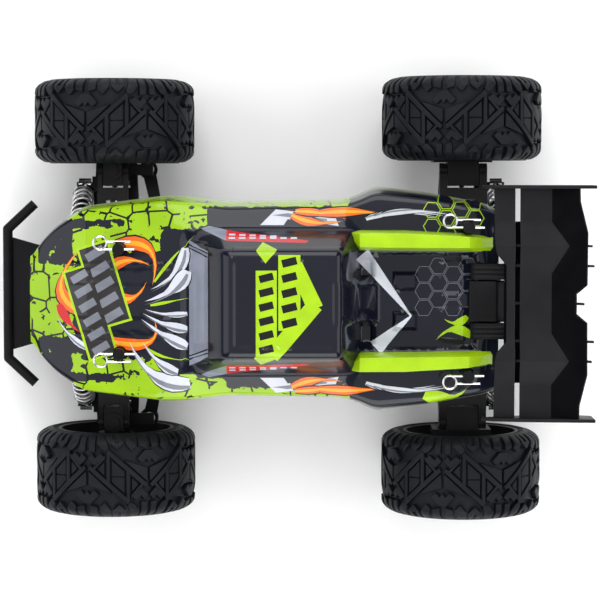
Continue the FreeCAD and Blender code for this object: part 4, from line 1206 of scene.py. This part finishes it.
FINISHES = {
    "rim_": "wheel",
    "lower_arm_": "arm",
    "upper_arm_": "arm",
    "steering_carrier_": "arm",
    "hub_carrier_": "arm",
    "knuckle_": "arm",
    "tie_rod_": "arm",
    "dogbone_": "steel",
    "shock_body_": "shock",
    "shock_rod_": "steel",
    "shock_towers": "chassis",
    "shock_springs": "spring",
    "chassis_tub": "chassis",
    "top_deck": "chassis",
    "gearboxes": "chassis",
    "battery_pack": "battery",
    "battery_door": "chassis",
    "receiver_box": "case",
    "steering_servo": "case",
    "servo_horn": "case",
    "steering_slider": "case",
    "drive_motor": "motor",
    "motor_pinion": "steel",
    "centre_shaft": "steel",
    "front_diff": "steel",
    "rear_diff": "steel",
    "body_posts": "chassis",
    "body_clips": "clip",
    "front_bumper": "chassis",
    "wing_mount": "wing",
    "rear_wing": "wing",
    "pins_and_screws": "steel",
    "power_switch": "switch",
    "body_shell": "coat",
    "tyre_": "tyre",
}


def finish_cad_nodes():
    """Gives every CAD node its procedural material."""
    for name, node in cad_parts.items():
        finish = next(value for key, value in FINISHES.items() if name.startswith(key))
        if not node.material_slots:
            node.data.materials.append(None)
        for place_in_node in node.material_slots:
            place_in_node.link = "OBJECT"
            place_in_node.material = MATERIALS[finish]


# ---------------------------------------------------------------------------------------------
# Floor, lights and camera
# ---------------------------------------------------------------------------------------------

BACKDROP_RADIUS = 2900
BACKDROP_SIDES = 48
# Each side light's name, its way from the truck along X and Y, and its power in watts.
SIDE_LIGHTS = [("nose_light", 1, 0, 17), ("tail_light", -1, 0, 19),
               ("left_light", 0, 1, 34), ("right_light", 0, -1, 34)]
LIGHT_REACH = 1650
LIGHT_HEIGHT = 1250
SIDE_LIGHT_SIZE = 1700
TOP_LIGHT_HEIGHT = 2200
TOP_LIGHT_SIZE = 2400
TOP_LIGHT_POWER = 13
GLINT_PLACE = (150, -420, 1250)
GLINT_SIZE = 160
GLINT_POWER = 0.7
WORLD_STRENGTH = 0.12


def floor():
    """A pale floor with a gently raised far edge, like a paper sweep."""
    half, rise, steps = 3000, 900, 24
    points, faces = [], []
    for k in range(steps + 1):
        reach = -half + 2 * half * k / steps
        lift = rise * max(0.0, abs(reach) / half - 0.8) ** 2
        points += [(reach, -half, lift), (reach, half, lift)]
    for k in range(steps):
        faces.append((2 * k, 2 * k + 2, 2 * k + 3, 2 * k + 1))
    material = principled("studio_floor", linear(250, 250, 250), 0.9)
    mottle(material, linear(247, 247, 247), linear(252, 252, 252), 4)
    MATERIALS["floor"] = material
    piece = mesh_piece("studio_floor", points, faces, ["floor"])
    return piece


def backdrop():
    """A pale ring beyond the floor's edge that only the camera sees, so that it doesn't light the truck."""
    material = principled("backdrop_paper", linear(250, 250, 250), 1.0)
    shader_of(material).inputs["Emission Color"].default_value = linear(250, 250, 250)
    shader_of(material).inputs["Emission Strength"].default_value = 0.85
    MATERIALS["backdrop"] = material
    points, faces = [], []
    for k in range(BACKDROP_SIDES):
        angle = 2 * math.pi * k / BACKDROP_SIDES
        across, along = BACKDROP_RADIUS * math.cos(angle), BACKDROP_RADIUS * math.sin(angle)
        points += [(across, along, -200), (across, along, BACKDROP_RADIUS)]
        after = (k + 1) % BACKDROP_SIDES
        faces.append((2 * k, 2 * after, 2 * after + 1, 2 * k + 1))
    piece = mesh_piece("backdrop", points, faces, ["backdrop"])
    piece.visible_diffuse = False
    piece.visible_glossy = False
    piece.visible_shadow = False
    return piece


def softbox(name, place_mm, size, power, aim=(0, 0, 40)):
    """A square soft light aimed at the truck."""
    lamp = bpy.data.lights.new(name, "AREA")
    lamp.size = size * MM
    lamp.energy = power
    holder = bpy.data.objects.new(name, lamp)
    holder.location = Vector(place_mm) * MM
    holder.rotation_euler = (Vector(place_mm) - Vector(aim)).to_track_quat("Z", "Y").to_euler()
    bpy.context.scene.collection.objects.link(holder)
    return holder


def lights():
    """Four soft lights round the truck, a broad one overhead, a small glint and a dim world."""
    for name, along, across, power in SIDE_LIGHTS:
        softbox(name, (LIGHT_REACH * along, LIGHT_REACH * across, LIGHT_HEIGHT), SIDE_LIGHT_SIZE, power)
    softbox("top_light", (0, 0, TOP_LIGHT_HEIGHT), TOP_LIGHT_SIZE, TOP_LIGHT_POWER)
    softbox("glint_light", GLINT_PLACE, GLINT_SIZE, GLINT_POWER)
    world = bpy.data.worlds.new("studio_world")
    world.use_nodes = True
    world.node_tree.nodes["Background"].inputs["Color"].default_value = linear(245, 247, 250)
    world.node_tree.nodes["Background"].inputs["Strength"].default_value = WORLD_STRENGTH
    bpy.context.scene.world = world
    bpy.context.scene.view_settings.view_transform = "Standard"


CAMERA_X = -6.3
CAMERA_HEIGHT = 1272
CAMERA_TILT = 0.058
AIM_HEIGHT = 80
VIEW_WIDTH = 321
VIEW_WIDTH_HEIGHT = 42.5


def camera():
    """Looks straight down through a long lens, nose to the left, a few degrees from the truck's right."""
    lens = bpy.data.cameras.new("camera")
    eye = bpy.data.objects.new("camera", lens)
    aim = Vector((CAMERA_X, 0.5, AIM_HEIGHT))
    place_mm = aim + Vector((0, -CAMERA_TILT, 1)) * (CAMERA_HEIGHT - AIM_HEIGHT)
    back = (place_mm - aim).normalized()
    right = Vector((-1, 0, 0))
    up = back.cross(right)
    turn = Matrix((right, up, back)).transposed().to_4x4()
    eye.matrix_world = Matrix.Translation(place_mm * MM) @ turn
    lens.lens = lens.sensor_width * (CAMERA_HEIGHT - VIEW_WIDTH_HEIGHT) / VIEW_WIDTH
    bpy.context.scene.collection.objects.link(eye)
    bpy.context.scene.camera = eye


def build():
    finish_cad_nodes()
    body_shell()
    rear_wing()
    tail_covers()
    for side in SIDES:
        shell_fin(side)
    for end in ENDS:
        for side in SIDES:
            tyre(end, side)
            spring(end, side)
    floor()
    backdrop()
    lights()
    camera()


build()
